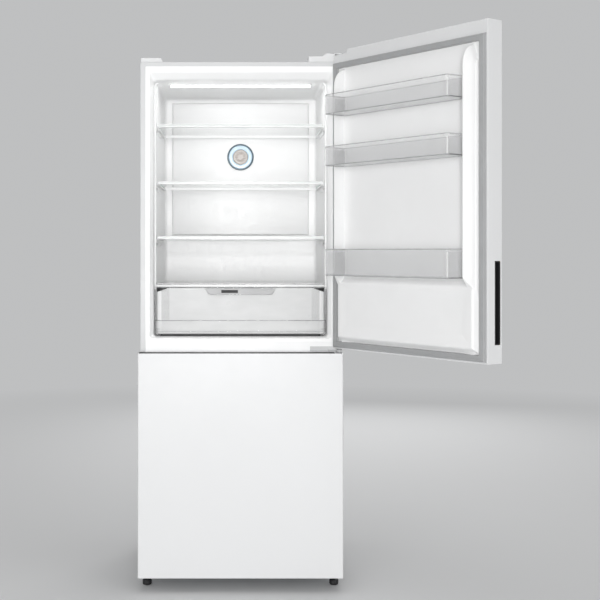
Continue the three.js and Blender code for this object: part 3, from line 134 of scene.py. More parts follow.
def soften(rows, reach, steps=4):
    """Rounds the bends of a run of rows.

    A bend at V between runs that leave it towards A and B, each `reach` away, becomes the
    parabola (1 - t)^2 A + 2 t (1 - t) V + t^2 B for t from 0 to 1. A reach past the middle of a
    run stops there. Every column of the rows is blended alike.
    """
    rows = np.asarray(rows, float)
    reach = np.broadcast_to(np.asarray(reach, float), len(rows) - 2)[:, None]
    behind, ahead = rows[:-2] - rows[1:-1], rows[2:] - rows[1:-1]

    def part(run):
        return np.minimum(reach / np.maximum(np.abs(run).max(axis=1, keepdims=True), 1e-9), 0.5)

    a, b = rows[1:-1] + behind * part(behind), rows[1:-1] + ahead * part(ahead)
    t = np.linspace(0, 1, steps + 1)[None, :, None]
    bends = (1 - t) ** 2 * a[:, None] + 2 * t * (1 - t) * rows[1:-1, None] + t**2 * b[:, None]
    return np.vstack([rows[:1], bends.reshape(-1, rows.shape[1]), rows[-1:]])


def soften_loop(rows, reach, steps=4):
    """The same rounding for a closed run of rows, whose last row is followed by its first."""
    rows = np.asarray(rows, float)
    return soften(np.vstack([rows[-1:], rows, rows[:1]]), reach, steps)[1:-1]


def onto(axis, along, a, b):
    """Points whose `along` runs on the named axis and whose a and b run on the other two, in
    order."""
    order = {"x": (along, a, b), "y": (a, along, b), "z": (a, b, along)}[axis]
    return np.stack(np.broadcast_arrays(*order), axis=-1)


def rings(rows, axis, steps=6):
    """Rectangles with round corners, one for each row, along an axis.

    A row holds the place on the axis, the two sides in each of the other directions and the
    corner radius r. Corner k turns from k x 90 degrees through a quarter circle of r about the
    point r inside the corner.
    """
    place, a0, a1, b0, b1, radius = np.asarray(rows, float).T[:, :, None, None]
    radius = np.minimum(radius, np.minimum(a1 - a0, b1 - b0) / 2)
    corner = np.array([[[1, 1], [0, 1], [0, 0], [1, 0]]])[..., None]
    centre_a = np.where(corner[:, :, 0] == 1, a1 - radius, a0 + radius)
    centre_b = np.where(corner[:, :, 1] == 1, b1 - radius, b0 + radius)
    turn = np.radians(90 * np.arange(4)[None, :, None] + np.linspace(0, 90, steps + 1))
    a, b = centre_a + radius * np.cos(turn), centre_b + radius * np.sin(turn)
    grid = onto(axis, place + 0 * a, a, b)
    return grid.reshape(len(grid), -1, 3)


def framed(axis, low, high, stations):
    """Rows for `rings`: at each (place, inset, radius), the rectangle between two corners as it
    is seen along the axis, drawn in by the inset."""
    a, b = [i for i in range(3) if i != "xyz".index(axis)]
    return [[place, low[a] + inset, high[a] - inset, low[b] + inset, high[b] - inset, radius]
            for place, inset, radius in stations]


def skin(grid, wrap_rows=False, wrap_cols=False, cap_first=False, cap_last=False):
    """Points and faces of a grid of points: a quad between each four neighbours, flat end faces
    on the first and last row where asked, and the last row or column joined to the first where
    it wraps."""
    height, width = grid.shape[:2]
    index = np.arange(height * width).reshape(height, width)
    ends = index.tolist()
    if wrap_rows:
        index = np.vstack([index, index[:1]])
    if wrap_cols:
        index = np.hstack([index, index[:, :1]])
    quads = np.stack([index[:-1, :-1], index[:-1, 1:], index[1:, 1:], index[1:, :-1]], axis=-1)
    faces = quads.reshape(-1, 4).tolist()
    if cap_first:
        faces.append(ends[0][::-1])
    if cap_last:
        faces.append(ends[-1])
    return grid.reshape(-1, 3), faces


def joined(*skins):
    """Several skins as one list of points and faces."""
    points, faces, count = [], [], 0
    for part_points, part_faces in skins:
        points.append(part_points)
        faces += [[i + count for i in face] for face in part_faces]
        count += len(part_points)
    return np.vstack(points), faces


def mirrored(shape):
    """A skin and its mirror image across x = 0, with the image's faces turned to match."""
    points, faces = shape
    return joined(shape, (points * [-1, 1, 1], [face[::-1] for face in faces]))


def vessel(rows, axis, reach=1.0, steps=4, corner_steps=6):
    """A closed body through a run of rounded rectangles, with the bends of the run softened."""
    return skin(rings(soften(rows, reach, steps), axis, corner_steps),
                wrap_cols=True, cap_first=True, cap_last=True)


def slab(axis, low, high, radius=1.0, edge=0.8):
    """A block between two corners, its four long edges rounded by `radius`, its end edges by
    `edge`. The round ends spread over 2.2 x `edge` of each end face."""
    k = "xyz".index(axis)
    end_spread = 2.2 * edge
    end_radius = max(radius - end_spread, LEAST_RADIUS)
    rows = framed(axis, low, high, [
        (low[k], end_spread, end_radius), (low[k], 0, max(radius, LEAST_RADIUS)),
        (high[k], 0, max(radius, LEAST_RADIUS)), (high[k], end_spread, end_radius)])
    return vessel(rows, axis, edge, 3, 4)


def drawn(profile, axis, start, stop, edge=0.0):
    """A closed profile carried straight along an axis, with flat ends drawn in by `edge`."""
    profile = np.asarray(profile, float)
    middle = profile.mean(axis=0)
    small = middle + (profile - middle) * (1 - edge / np.abs(profile - middle).max())
    if edge:
        sections = [small, profile, profile, small]
        places = np.array([start, start + edge, stop - edge, stop])
    else:
        sections, places = [profile, profile], np.array([start, stop])
    sections = np.stack(sections)
    grid = onto(axis, places[:, None] + 0 * sections[..., 0], sections[..., 0], sections[..., 1])
    return skin(grid, wrap_cols=True, cap_first=True, cap_last=True)


def arch(rows, axis, foot, steps=6):
    """A run carried up one leg, over a crest with round corners and down the other leg.

    A row holds the place on the axis, the half-width of the legs in x, the crest's height in the
    remaining direction and the corner radius. Each leg starts at `foot`.
    """
    place, half, crest, radius = np.asarray(rows, float).T[:, :, None]
    rise = np.sign(crest - foot)
    turn = np.radians(np.concatenate([np.linspace(180, 90, steps + 1),
                                      np.linspace(90, 0, steps + 1)]))[None]
    side = np.repeat([-1.0, 1.0], steps + 1)[None]
    x = np.hstack([-half, side * (half - radius) + radius * np.cos(turn), half])
    up = crest - rise * radius + rise * radius * np.sin(turn)
    up = np.hstack([foot + 0 * half, up, foot + 0 * half])
    order = (x, place + 0 * x, up) if axis == "y" else (x, up, place + 0 * x)
    return np.stack(order, axis=-1).transpose(1, 0, 2)


def lathe(profile, axis, centre, sides=48, hollow=False, lobes=0, lobe_depth=0.0):
    """A turned body: each (radius, place) of the profile runs round the axis.

    A hollow one is a ring, whose profile closes on itself. Where there are lobes, the radius is
    drawn in by lobe_depth x (1 - cos(lobes x angle)) / 2.
    """
    radius, place = np.asarray(profile, float).T[:, :, None]
    turn = np.linspace(0, 2 * math.pi, sides, endpoint=False)[None]
    radius = radius - np.minimum(lobe_depth, radius) * (1 - np.cos(lobes * turn)) / 2
    grid = onto(axis, place + 0 * turn, centre[0] + radius * np.cos(turn),
                centre[1] + radius * np.sin(turn))
    return skin(grid, wrap_rows=hollow, wrap_cols=True, cap_first=not hollow,
                cap_last=not hollow)


def relief(xs, zs, heights, base, back, towards):
    """A closed panel whose face stands `heights` above the plane y = base, towards -Y or +Y.

    The face is a grid over x and z. A rim of points on the plane y = back goes round it, and one
    flat face closes the back.
    """
    x, z = np.meshgrid(xs, zs)
    face = np.stack([x, base + towards * heights, z], axis=-1)
    grid = np.pad(face, ((1, 1), (1, 1), (0, 0)), mode="edge")
    rim = np.ones(grid.shape[:2], bool)
    rim[1:-1, 1:-1] = False
    grid[rim, 1] = back
    points, faces = skin(grid)
    index = np.arange(grid.shape[0] * grid.shape[1]).reshape(grid.shape[:2])
    border = [*index[0, :-1], *index[:-1, -1], *index[-1, :0:-1], *index[:0:-1, 0]]
    return points, [*faces, [int(i) for i in border]]


def smooth_least(a, b, reach):
    """The lesser of two heights with a fillet:
    min(a, b) - max(reach - |a - b|, 0)^2 / (4 reach)."""
    return np.minimum(a, b) - np.maximum(reach - np.abs(a - b), 0) ** 2 / (4 * reach)


def smooth_most(a, b, reach):
    """The greater of two heights with a fillet:
    max(a, b) + max(reach - |a - b|, 0)^2 / (4 reach)."""
    return np.maximum(a, b) + np.maximum(reach - np.abs(a - b), 0) ** 2 / (4 * reach)


def samples(*spans):
    """Grid lines: each span is (start, stop, step), and lines that coincide are kept once."""
    lines = [np.linspace(a, b, max(2, int(round(abs(b - a) / step)) + 1)) for a, b, step in spans]
    return np.unique(np.concatenate(lines).round(3))


# ---------------------------------------------------------------- finishes


class Finish:
    """A node material round one Principled shader, with patterns on Object coordinates."""

    def __init__(self, name, colour, roughness, **constants):
        self.material = bpy.data.materials.new(name)
        self.material.use_nodes = True
        self.tree = self.material.node_tree
        self.shader = self.tree.nodes["Principled BSDF"]
        self.shader.inputs["Base Color"].default_value = (*colour, 1)
        self.shader.inputs["Roughness"].default_value = roughness
        for socket, value in constants.items():
            self.shader.inputs[socket].default_value = value
        self.colour, self.roughness = colour, roughness
        self.place = self.tree.nodes.new("ShaderNodeTexCoord").outputs["Object"]

    def node(self, kind, links=(), **settings):
        """A new node; links are (input name, socket) pairs, and settings go on the node or its
        inputs."""
        made = self.tree.nodes.new(kind)
        for name, value in settings.items():
            if hasattr(made, name):
                setattr(made, name, value)
            else:
                made.inputs[name.replace("_", " ")].default_value = value
        for name, socket in links:
            self.tree.links.new(made.inputs[name], socket)
        return made

    def noise(self, scale, detail=3.0, stretch=(1, 1, 1)):
        """Noise of about `scale` cells a metre, squeezed along each axis by stretch."""
        mapped = self.node("ShaderNodeMapping", [("Vector", self.place)])
        mapped.inputs["Scale"].default_value = stretch
        made = self.node("ShaderNodeTexNoise", [("Vector", mapped.outputs["Vector"])],
                         Scale=scale, Detail=detail)
        return made.outputs["Fac"]

    def cells(self, scale):
        """A random value for each cell of about 1 / scale metres."""
        made = self.node("ShaderNodeTexVoronoi", [("Vector", self.place)], Scale=scale)
        return made.outputs["Color"]

    def ramp(self, value, low, high, start=0.3, stop=0.7):
        """Value carried from [start, stop] to [low, high]."""
        made = self.node("ShaderNodeMapRange", [("Value", value)])
        for socket, amount in (("From Min", start), ("From Max", stop), ("To Min", low),
                               ("To Max", high)):
            made.inputs[socket].default_value = amount
        return made.outputs["Result"]

    def tint(self, value, darker, start=0.3, stop=0.7):
        """Base colour between the plain one and that times `darker`, by value."""
        mix = self.node("ShaderNodeMix", data_type="RGBA")
        self.tree.links.new(mix.inputs["Factor"], self.ramp(value, 0, 1, start, stop))
        plain, tinted, result = mix.inputs[6], mix.inputs[7], mix.outputs[2]
        plain.default_value = (*self.colour, 1)
        tinted.default_value = (*np.multiply(self.colour, darker), 1)
        self.tree.links.new(self.shader.inputs["Base Color"], result)
        return self

    def rough(self, value, spread):
        """Roughness that varies by spread each way with value."""
        socket = self.ramp(value, max(self.roughness - spread, 0), self.roughness + spread)
        self.tree.links.new(self.shader.inputs["Roughness"], socket)
        return self

    def clear(self, face_on, edge_on, start=0.0, stop=1.0):
        """Opacity that rises from `face_on` to `edge_on` as the surface turns edge on."""
        made = self.node("ShaderNodeLayerWeight", Blend=0.35)
        socket = self.ramp(made.outputs["Facing"], face_on, edge_on, start, stop)
        self.tree.links.new(self.shader.inputs["Alpha"], socket)
        return self

    def bump(self, value, depth, strength=0.5):
        """Relief of the given depth in metres from value."""
        made = self.node("ShaderNodeBump", [("Height", value)], Strength=strength, Distance=depth)
        self.tree.links.new(self.shader.inputs["Normal"], made.outputs["Normal"])
        return self


def painted_steel(name, colour):
    """Stoved paint on sheet steel: glossy, with the faint ripple of orange peel."""
    finish = Finish(name, colour, 0.4, **{"Coat Weight": 0.1, "Coat Roughness": 0.2})
    return finish.tint(finish.noise(3, 2), 0.985).rough(finish.noise(40), 0.04).bump(
        finish.noise(420, 2), 0.0002, 0.12).material


def formed_plastic(name, colour, roughness=0.38, grain=900, depth=0.0001):
    """Moulded or vacuum-formed plastic: an even colour with slight clouding and a fine grain."""
    finish = Finish(name, colour, roughness, **{"IOR": 1.5})
    return finish.tint(finish.noise(6, 3), 0.975).rough(finish.noise(60), 0.05).bump(
        finish.noise(grain, 2), depth, 0.15).material


def satin_cover(name, colour):
    """Pearl-white moulding under a clear satin lacquer."""
    finish = Finish(name, colour, 0.36, **{"Coat Weight": 0.05, "Coat Roughness": 0.3})
    return finish.tint(finish.noise(5, 3), 0.98).rough(finish.noise(60), 0.05).bump(
        finish.noise(700, 2), 0.0001, 0.1).material


def clear_moulding(name, colour, roughness, face_on, edge_on):
    """Clear injection-moulded plastic: see-through face on and denser edge on, with faint flow
    lines."""
    finish = Finish(name, colour, roughness, **{"IOR": 1.49})
    return finish.clear(face_on, edge_on).tint(finish.noise(12, 2, (1, 1, 3)), 0.94).rough(
        finish.noise(25), 0.03).bump(finish.noise(30, 1, (1, 1, 2)), 0.0001, 0.05).material


def sheet_glass(name, colour):
    """Tempered float glass with a green cast and a barely wavy surface."""
    finish = Finish(name, colour, 0.08, **{"IOR": 1.52})
    return finish.clear(0.04, 0.24, 0.5, 0.95).tint(finish.noise(2, 1), 0.98).rough(
        finish.noise(30), 0.02).bump(finish.noise(6, 1), 0.0002, 0.03).material


def soft_rubber(name, colour):
    """Extruded gasket rubber: matt, with drawing lines along it and dusty patches."""
    finish = Finish(name, colour, 0.62, **{"IOR": 1.5, "Sheen Weight": 0.15})
    return finish.tint(finish.noise(14, 4), 0.93).rough(finish.noise(80), 0.08).bump(
        finish.noise(260, 3, (1, 1, 0.1)), 0.0002, 0.25).material


def zinc_sheet(name, colour):
    """Hot-dipped zinc on steel: crystals of differing brightness under a dull sheen."""
    finish = Finish(name, colour, 0.5, **{"Metallic": 0.35})
    cells = finish.cells(120)
    return finish.tint(cells, 0.87, 0.1, 0.9).rough(cells, 0.09).bump(
        finish.noise(200, 3), 0.0002, 0.15).material


def bright_metal(name, colour, roughness, stretch, scale=60):
    """Drawn or rolled metal whose fine lines run along the axis with the smallest stretch."""
    finish = Finish(name, colour, roughness, **{"Metallic": 1.0})
    lines = finish.noise(scale, 4, stretch)
    return finish.tint(lines, 0.85).rough(lines, 0.08).bump(lines, 0.0001, 0.2).material


def stove_enamel(name, colour):
    """Black enamel over a pressed can, thicker in places and dusty."""
    finish = Finish(name, colour, 0.35)
    return finish.tint(finish.noise(25, 4), 1.9).rough(finish.noise(30), 0.12).bump(
        finish.noise(150, 3), 0.0004, 0.2).material


def rigid_foam(name, colour):
    """Poured foam with open bubbles."""
    finish = Finish(name, colour, 0.9)
    return finish.tint(finish.cells(500), 0.8, 0, 1).bump(finish.cells(500), 0.0006, 0.5).material


def glowing_lens(name, colour, strength):
    """Frosted lamp lens, lit from behind and a little brighter in cloudy patches."""
    finish = Finish(name, colour, 0.45, **{"Emission Strength": strength})
    finish.shader.inputs["Emission Color"].default_value = (*colour, 1)
    return finish.tint(finish.noise(30, 2), 0.96).bump(
        finish.noise(500, 2), 0.0002, 0.2).material


# The first factor darkens the liner colour for the door backs: painted shade, as the door backs face away from the
# light.
DOOR_LINER_PAINTED_SHADE, DUCT_SHADE, TRIM_SHADE = 0.905, 0.89, 0.99


def make_finishes(settings):
    """One material for each of the record's slots, for the trims and for the painted marks: shade on the
    door backs, and shade, shadow and highlight on the clear mouldings; the settings give some colours."""
    steel, liner, gasket = settings.steel_colour, settings.liner_colour, settings.gasket_colour
    return {
        "white_steel": painted_steel("white_steel", steel),
        "liner_plastic": formed_plastic("liner_plastic", liner),
        # door backs: the liner plastic made darker as painted shade
        "door_liner": formed_plastic("door_liner", np.multiply(liner, DOOR_LINER_PAINTED_SHADE)),
        "duct_plastic": satin_cover("duct_plastic", np.multiply(liner, DUCT_SHADE)),
        "white_trim": formed_plastic("white_trim", np.multiply(steel, TRIM_SHADE), roughness=0.45,
                                     grain=1200, depth=0.0002),
        "gasket_rubber": soft_rubber("gasket_rubber", gasket),
        "dark_plastic": formed_plastic("dark_plastic", settings.dark_colour, roughness=0.5,
                                       grain=1500, depth=0.0003),
        "clear_plastic": clear_moulding("clear_plastic", settings.clear_colour, roughness=0.1,
                                        face_on=0.11, edge_on=0.6),
        # dark grey clear finish: painted shade along the clear mouldings' creases, rims and feet, and also the
        # humidity scale's print and the handle panel's outline
        "clear_edge": clear_moulding("clear_edge", (0.25, 0.26, 0.27), roughness=0.12,
                                     face_on=0.4, edge_on=0.9),
        "glass_edge": clear_moulding("glass_edge", (0.42, 0.66, 0.56), roughness=0.3,
                                     face_on=0.6, edge_on=0.85),
        # painted shade: grey bands on the crisper front beside its round ends
        "painted_shade_band": clear_moulding("painted_shade_band", (0.5, 0.505, 0.51), roughness=0.2,
                                   face_on=0.12, edge_on=0.5),
        # painted highlight down the baskets' front corners
        "painted_highlight_white": formed_plastic("painted_highlight_white", (0.97, 0.97, 0.97)),
        "bright_trim": formed_plastic("bright_trim", (0.97, 0.97, 0.97), roughness=0.32),
        # painted highlight in the crisper front's round ends
        "painted_highlight_pale": formed_plastic("painted_highlight_pale", (0.8, 0.8, 0.8)),
        # painted shadow in gaps and under edges: round the crisper front, under the cover's top edge and along the
        # baskets' end walls
        "painted_shadow_line": clear_moulding("painted_shadow_line", (0.06, 0.062, 0.065), roughness=0.15,
                                    face_on=0.7, edge_on=0.95),
        "clear_trim": clear_moulding("clear_trim", settings.trim_colour, roughness=0.2,
                                     face_on=0.6, edge_on=0.95),
        "shelf_glass": sheet_glass("shelf_glass", settings.glass_colour),
        "blue_plastic": formed_plastic("blue_plastic", settings.purifier_colour, roughness=0.22),
        "lamp_lens": glowing_lens("lamp_lens", (1.0, 1.0, 0.99), settings.lamp_strength),
        "galvanised_steel": zinc_sheet("galvanised_steel", (0.62, 0.64, 0.66)),
        "zinc_steel": bright_metal("zinc_steel", (0.66, 0.67, 0.68), roughness=0.35,
                                   stretch=(0.2, 1, 1)),
        "foam": rigid_foam("foam", (0.72, 0.62, 0.36)),
        "black_enamel": stove_enamel("black_enamel", (0.02, 0.02, 0.022)),
        "copper_tube": bright_metal("copper_tube", (0.72, 0.36, 0.22), roughness=0.3,
                                    stretch=(0.1, 1, 1), scale=90),
        "aluminium": bright_metal("aluminium", (0.78, 0.79, 0.8), roughness=0.3,
                                  stretch=(1, 1, 0.05), scale=120),
    }


FINISHES = {}


# ---------------------------------------------------------------- pieces


def make_piece(name, shape, body, slot, replaces=(), place=on_cabinet, material=None, edge=0.0):
    """A skin in millimetres as a finished piece on a body.

    Points that meet are merged, faces are turned outwards, sharp edges stay crisp unless a bevel
    of `edge` eases them, and flat faces keep their own shading. The slot's finish is used where
    no material is given.
    """
    points, faces = shape
    mesh = bpy.data.meshes.new(name)
    mesh.from_pydata(place(np.asarray(points, float)), [], faces)
    work = bmesh.new()
    work.from_mesh(mesh)
    bmesh.ops.remove_doubles(work, verts=work.verts, dist=MERGE_DISTANCE)
    bmesh.ops.dissolve_degenerate(work, edges=work.edges, dist=MERGE_DISTANCE / 10)
    loose = [point for point in work.verts if not point.link_faces]
    bmesh.ops.delete(work, geom=loose, context="VERTS")
    bmesh.ops.recalc_face_normals(work, faces=work.faces)
    work.to_mesh(mesh)
    work.free()
    mesh.shade_smooth()
    mesh.set_sharp_from_angle(angle=math.radians(CREASE_ANGLE))
    piece = bpy.data.objects.new(name, mesh)
    bpy.context.scene.collection.objects.link(piece)
    mesh.materials.append(material or FINISHES[slot])
    if edge:
        ease_edges(piece, edge)
    weighted = piece.modifiers.new("Flat faces", "WEIGHTED_NORMAL")
    weighted.keep_sharp = True
    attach(piece, body)
    if replaces:
        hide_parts(*replaces)
    return piece


def dress_node(node, edge=0.0, material=None):
    """A CAD node that keeps its shape: its slot's finish or another, and its edges eased by a
    bevel."""
    piece = frame["nodes"][node]
    slot = next(p["material_slot"] for p in frame["record"]["subparts"] if p["node"] == node)
    piece.data.materials.clear()
    piece.data.materials.append(material or FINISHES[slot])
    if edge:
        weld = piece.modifiers.new("Weld", "WELD")
        weld.merge_threshold = 10 * MERGE_DISTANCE
        ease_edges(piece, edge)


def ease_edges(piece, width):
    """A two-step bevel of the given width in millimetres along a piece's sharp edges."""
    bevel = piece.modifiers.new("Eased edges", "BEVEL")
    bevel.width = width * MM
    bevel.segments = 2
    bevel.limit_method = "ANGLE"
    bevel.angle_limit = math.radians(BEVEL_ANGLE)


# ---------------------------------------------------------------- settings


def millimetres(name, description, default):
    """A length that the user sets in the interface's own unit."""
    return bpy.props.FloatProperty(name=name, description=description, default=default * MM,
                                   min=0.0, unit="LENGTH", subtype="DISTANCE", precision=4)


def colour(name, description, default):
    """A colour that the user picks."""
    return bpy.props.FloatVectorProperty(name=name, description=description, default=default,
                                         min=0.0, max=1.0, size=3, subtype="COLOR")


class RefrigeratorSizes(bpy.types.PropertyGroup):
    """Radii and depths of the formed pieces."""

    shell_corner: millimetres("Shell corner", "Radius of the steel wrapper's top corners", 5)
    wall_corner: millimetres("Wall corner", "Radius between the walls of a compartment", 16)
    mouth_corner: millimetres("Mouth corner", "Radius of a compartment's mouth", 11)
    ridge_fillet: millimetres("Ridge fillet", "Fillet along the ridges of the upper door", 7)
    basket_corner: millimetres("Basket corner", "Radius of a door basket's front corners", 12)
    crisper_corner: millimetres("Crisper corner", "Radius of the crisper front's ends", 28)
    plastic_wall: millimetres("Plastic wall", "Thickness of the clear mouldings", 2.5)
    cover_edge: millimetres("Cover edge", "Radius along the edges of the hinge covers", 2.5)


class RefrigeratorColours(bpy.types.PropertyGroup):
    """Colours of the finishes."""

    steel_colour: colour("Steel", "Paint of the cabinet and the door fronts", (0.735, 0.74, 0.745))
    liner_colour: colour("Liner", "Plastic of the compartments and door backs",
                         (0.975, 0.977, 0.977))
    gasket_colour: colour("Gasket", "Rubber of the door gaskets", (0.36, 0.365, 0.37))
    clear_colour: colour("Clear plastic", "Tint of the baskets and drawers", (0.88, 0.885, 0.89))
    trim_colour: colour("Trims", "Tint of the shelves' front trims", (0.95, 0.955, 0.955))
    glass_colour: colour("Glass", "Tint of the shelves", (0.92, 0.955, 0.94))
    dark_colour: colour("Dark plastic", "Handle pockets, slider, feet and rollers",
                        (0.012, 0.012, 0.013))
    purifier_colour: colour("Purifier", "Ring of the round purifier", (0.62, 0.78, 0.90))
    lamp_strength: bpy.props.FloatProperty(
        name="Lamp strength", description="Glow of the ceiling lamp's lens", default=3.5, min=0.0)


class RefrigeratorStage(bpy.types.PropertyGroup):
    """Floor, camera and studio light."""

    floor_colour: colour("Floor", "Pale plain floor", (0.7, 0.705, 0.71))
    backdrop_colour: colour("Backdrop", "What the camera sees past the floor", (0.52, 0.525, 0.53))
    ambient_strength: bpy.props.FloatProperty(
        name="Ambient", description="Strength of the even light from all round", default=0.38)
    eye_height: bpy.props.FloatProperty(
        name="Eye height", description="Height of the level camera above the floor",
        default=1.161, unit="LENGTH")
    eye_distance: bpy.props.FloatProperty(
        name="Eye distance", description="Distance of the camera in front of the cabinet",
        default=3.968, unit="LENGTH")
    lens_mm: bpy.props.FloatProperty(
        name="Lens", description="Focal length on a 36 mm sensor", default=68.72)
    lens_shift: bpy.props.FloatVectorProperty(
        name="Lens shift", description="Shift of the picture's middle, in sensor widths",
        default=(0.0992, -0.0818), size=2)
    lamp_power: bpy.props.FloatProperty(
        name="Lamp power", description="Watts that the ceiling lamp throws down", default=0.45,
        min=0.0)


class RefrigeratorOperator:
    """What the operators share: a place in the history of steps."""

    bl_options = {"REGISTER", "UNDO"}


# ---------------------------------------------------------------- cabinet


def cabinet_shell(corner):
    """The steel wrapper: a flange, the front fold, the side and its inner face, carried round
    both sides and the top as one folded sheet."""
    low, high = extent("cabinet_wrapper")
    sheet, flange_side, flange_top = 2.0, 19.0, 16.0

    def row(y, side, over, radius):
        return [y, high[0] - side, high[2] - over, radius]

    profile = soften_loop([
        row(sheet, flange_side, flange_top, 0.2), row(0, flange_side, flange_top, 0.2),
        row(0, 0, 0, corner), row(high[1], 0, 0, corner),
        row(high[1], sheet, sheet, corner - sheet), row(sheet, sheet, sheet, corner - sheet),
    ], [0.5, 0.5, 3, 0.5, 0.5, 1.5])
    return skin(arch(profile, "y", low[2]), wrap_cols=True, cap_first=True, cap_last=True)


LINER_SHEET = 2.5  # thickness of both compartments' formed sheet
LINER_WALL = 31  # from the rim's outer edge in to a side wall
BACK_BORDER = 30  # from a side wall in to the flat middle of the back


def formed_liner(rows, reach):
    """A compartment formed from one sheet: rounded rectangles from the rim inwards, and the
    same run set back by the sheet's thickness on the outside."""
    rows = np.asarray(rows, float)
    outside = rows + LINER_SHEET * np.array([0, -1, 1, -1, 1, 1])
    outside[:, 0] = np.maximum(outside[:, 0], LINER_SHEET)
    outside[-2:, 0] += LINER_SHEET
    outside[0] = rows[0] + [LINER_SHEET, 0, 0, 0, 0, 0]
    run = np.vstack([outside[::-1], rows])
    reaches = np.concatenate([np.full(len(rows) - 1, 1.0), [0.4], reach])
    return skin(rings(soften(run, reaches, 5), "y", 7), wrap_cols=True, cap_first=True,
                cap_last=True)


def upper_liner(sizes):
    """Rim, sloped mouth, wider zone at the front and the main walls of the upper compartment."""
    low, high = extent("fridge_liner")
    mouth, walls = sizes.mouth_corner / MM, sizes.wall_corner / MM
    rim, wide = 14, 25
    mouth_depth, wide_depth, step = 24, 80, 2.5
    sides = [low[0] + LINER_WALL, high[0] - LINER_WALL]
    wide_sides = [low[0] + wide, high[0] - wide]
    floor, ceiling, back = low[2] + 16, high[2] - 44, high[1] - LINER_SHEET
    rows = [
        [0, low[0], high[0], low[2], high[2], 2],
        [0, low[0] + rim, high[0] - rim, low[2] + 12, high[2] - 20, mouth],
        [mouth_depth, *wide_sides, floor, ceiling, mouth + 1],
        [wide_depth, *wide_sides, floor, ceiling, mouth + 1],
        [wide_depth + step, *sides, floor, ceiling, walls],
        [back, *sides, floor, ceiling, walls],
        [back, sides[0] + BACK_BORDER, sides[1] - BACK_BORDER, floor + BACK_BORDER,
         ceiling - BACK_BORDER, 4],
    ]
    return formed_liner(rows, [2.5, 7, 2, 2, 14])


def shelf_rails():
    """Ribs on the side walls that carry the panes, and a shallow guide under each shelf."""
    ribs = []
    wall = extent("fridge_liner")[1][0] - LINER_WALL
    rib, clearance, bury = 7, 0.5, 1
    guide_rise, guide_low, guide_high, guide_length = 2.5, 26, 16, 190
    for pane in (*[f"{shelf}_glass" for shelf in SHELVES], "crisper_cover_glass"):
        low, high = extent(pane)
        top = low[2] - clearance
        ribs.append(slab("y", (wall - rib, low[1] + 7.5, top - rib),
                         (wall + bury, high[1], top), 2.2, 2))
        if pane.startswith("shelf"):
            ribs.append(slab("y", (wall - guide_rise, low[1] - 12, top - guide_low),
                             (wall + bury, low[1] + guide_length, top - guide_high), 1.2, 2))
    return mirrored(joined(*ribs))


def freezer_liner_form(sizes):
    """Rim, sloped mouth and walls of the freezer, with the floor raised at the back."""
    low, high = extent("freezer_liner")
    mouth, walls = sizes.mouth_corner / MM, sizes.wall_corner / MM
    rim, rim_upright, mouth_depth = 14, 12, 24
    step, step_top = 350.0, 302.0
    sides = [low[0] + LINER_WALL, high[0] - LINER_WALL]
    floor, ceiling, back = low[2] + 18, high[2] - 16, high[1] - LINER_SHEET
    rows = [
        [0, low[0], high[0], low[2], high[2], 2],
        [0, low[0] + rim, high[0] - rim, low[2] + rim_upright, high[2] - rim_upright, mouth],
        [mouth_depth, *sides, floor, ceiling, walls],
        [step - 1, *sides, floor, ceiling, walls],
        [step, *sides, step_top, ceiling, walls],
        [back, *sides, step_top, ceiling, walls],
        [back, sides[0] + BACK_BORDER, sides[1] - BACK_BORDER, step_top + BACK_BORDER,
         ceiling - BACK_BORDER, 4],
    ]
    return formed_liner(rows, [2.5, 7, 0.5, 0.5, 14])


FLANGE_DROP = 40  # from a freezer drawer's rim down to the underside of its flanges


def freezer_rails():
    """Ribs on the freezer's walls under the drawers' side flanges."""
    ribs = []
    wall, rib, clearance = extent("freezer_liner")[1][0] - LINER_WALL, 7, 0.5
    for node in FREEZER_DRAWERS:
        low, high = extent(node)
        top = high[2] - FLANGE_DROP - clearance
        ribs.append(slab("y", (high[0] - 3, low[1] + 8, top - rib), (wall + 1, high[1], top),
                         2.2, 2))
    return mirrored(joined(*ribs))


class REFRIGERATOR_OT_cabinet(RefrigeratorOperator, bpy.types.Operator):
    """Form the folded steel wrapper and the rail between the compartments"""

    bl_idname = "refrigerator.cabinet"
    bl_label = "Cabinet"

    def execute(self, context):
        sizes = context.scene.refrigerator_sizes
        # The wrapper gets a darker copy of the doors' steel paint: painted shade on the cabinet's front flange.
        make_piece("cabinet_shell", cabinet_shell(sizes.shell_corner / MM), "cabinet",
                   "white_steel", ["cabinet_wrapper"],
                   material=painted_steel("cabinet_paint_shaded", (0.63, 0.635, 0.64)))
        dress_node("cross_rail", 0.5, painted_steel("rail_paint", (0.93, 0.935, 0.935)))
        dress_node("cabinet_foam")
        dress_node("base_tray", 0.4)
        return {"FINISHED"}


class REFRIGERATOR_OT_back(RefrigeratorOperator, bpy.types.Operator):
    """Form the beaded back panel and its screws, and finish the machine room's cover"""

    bl_idname = "refrigerator.back"
    bl_label = "Back"

    def execute(self, context):
        make_piece("back_sheet", beaded_back(), "cabinet", "galvanised_steel", ["back_panel"])
        make_piece("back_screws", back_screws(), "cabinet", "zinc_steel")
        dress_node("rear_cover", 0.4)
        dress_node("cord_gland", 0.6)
        return {"FINISHED"}


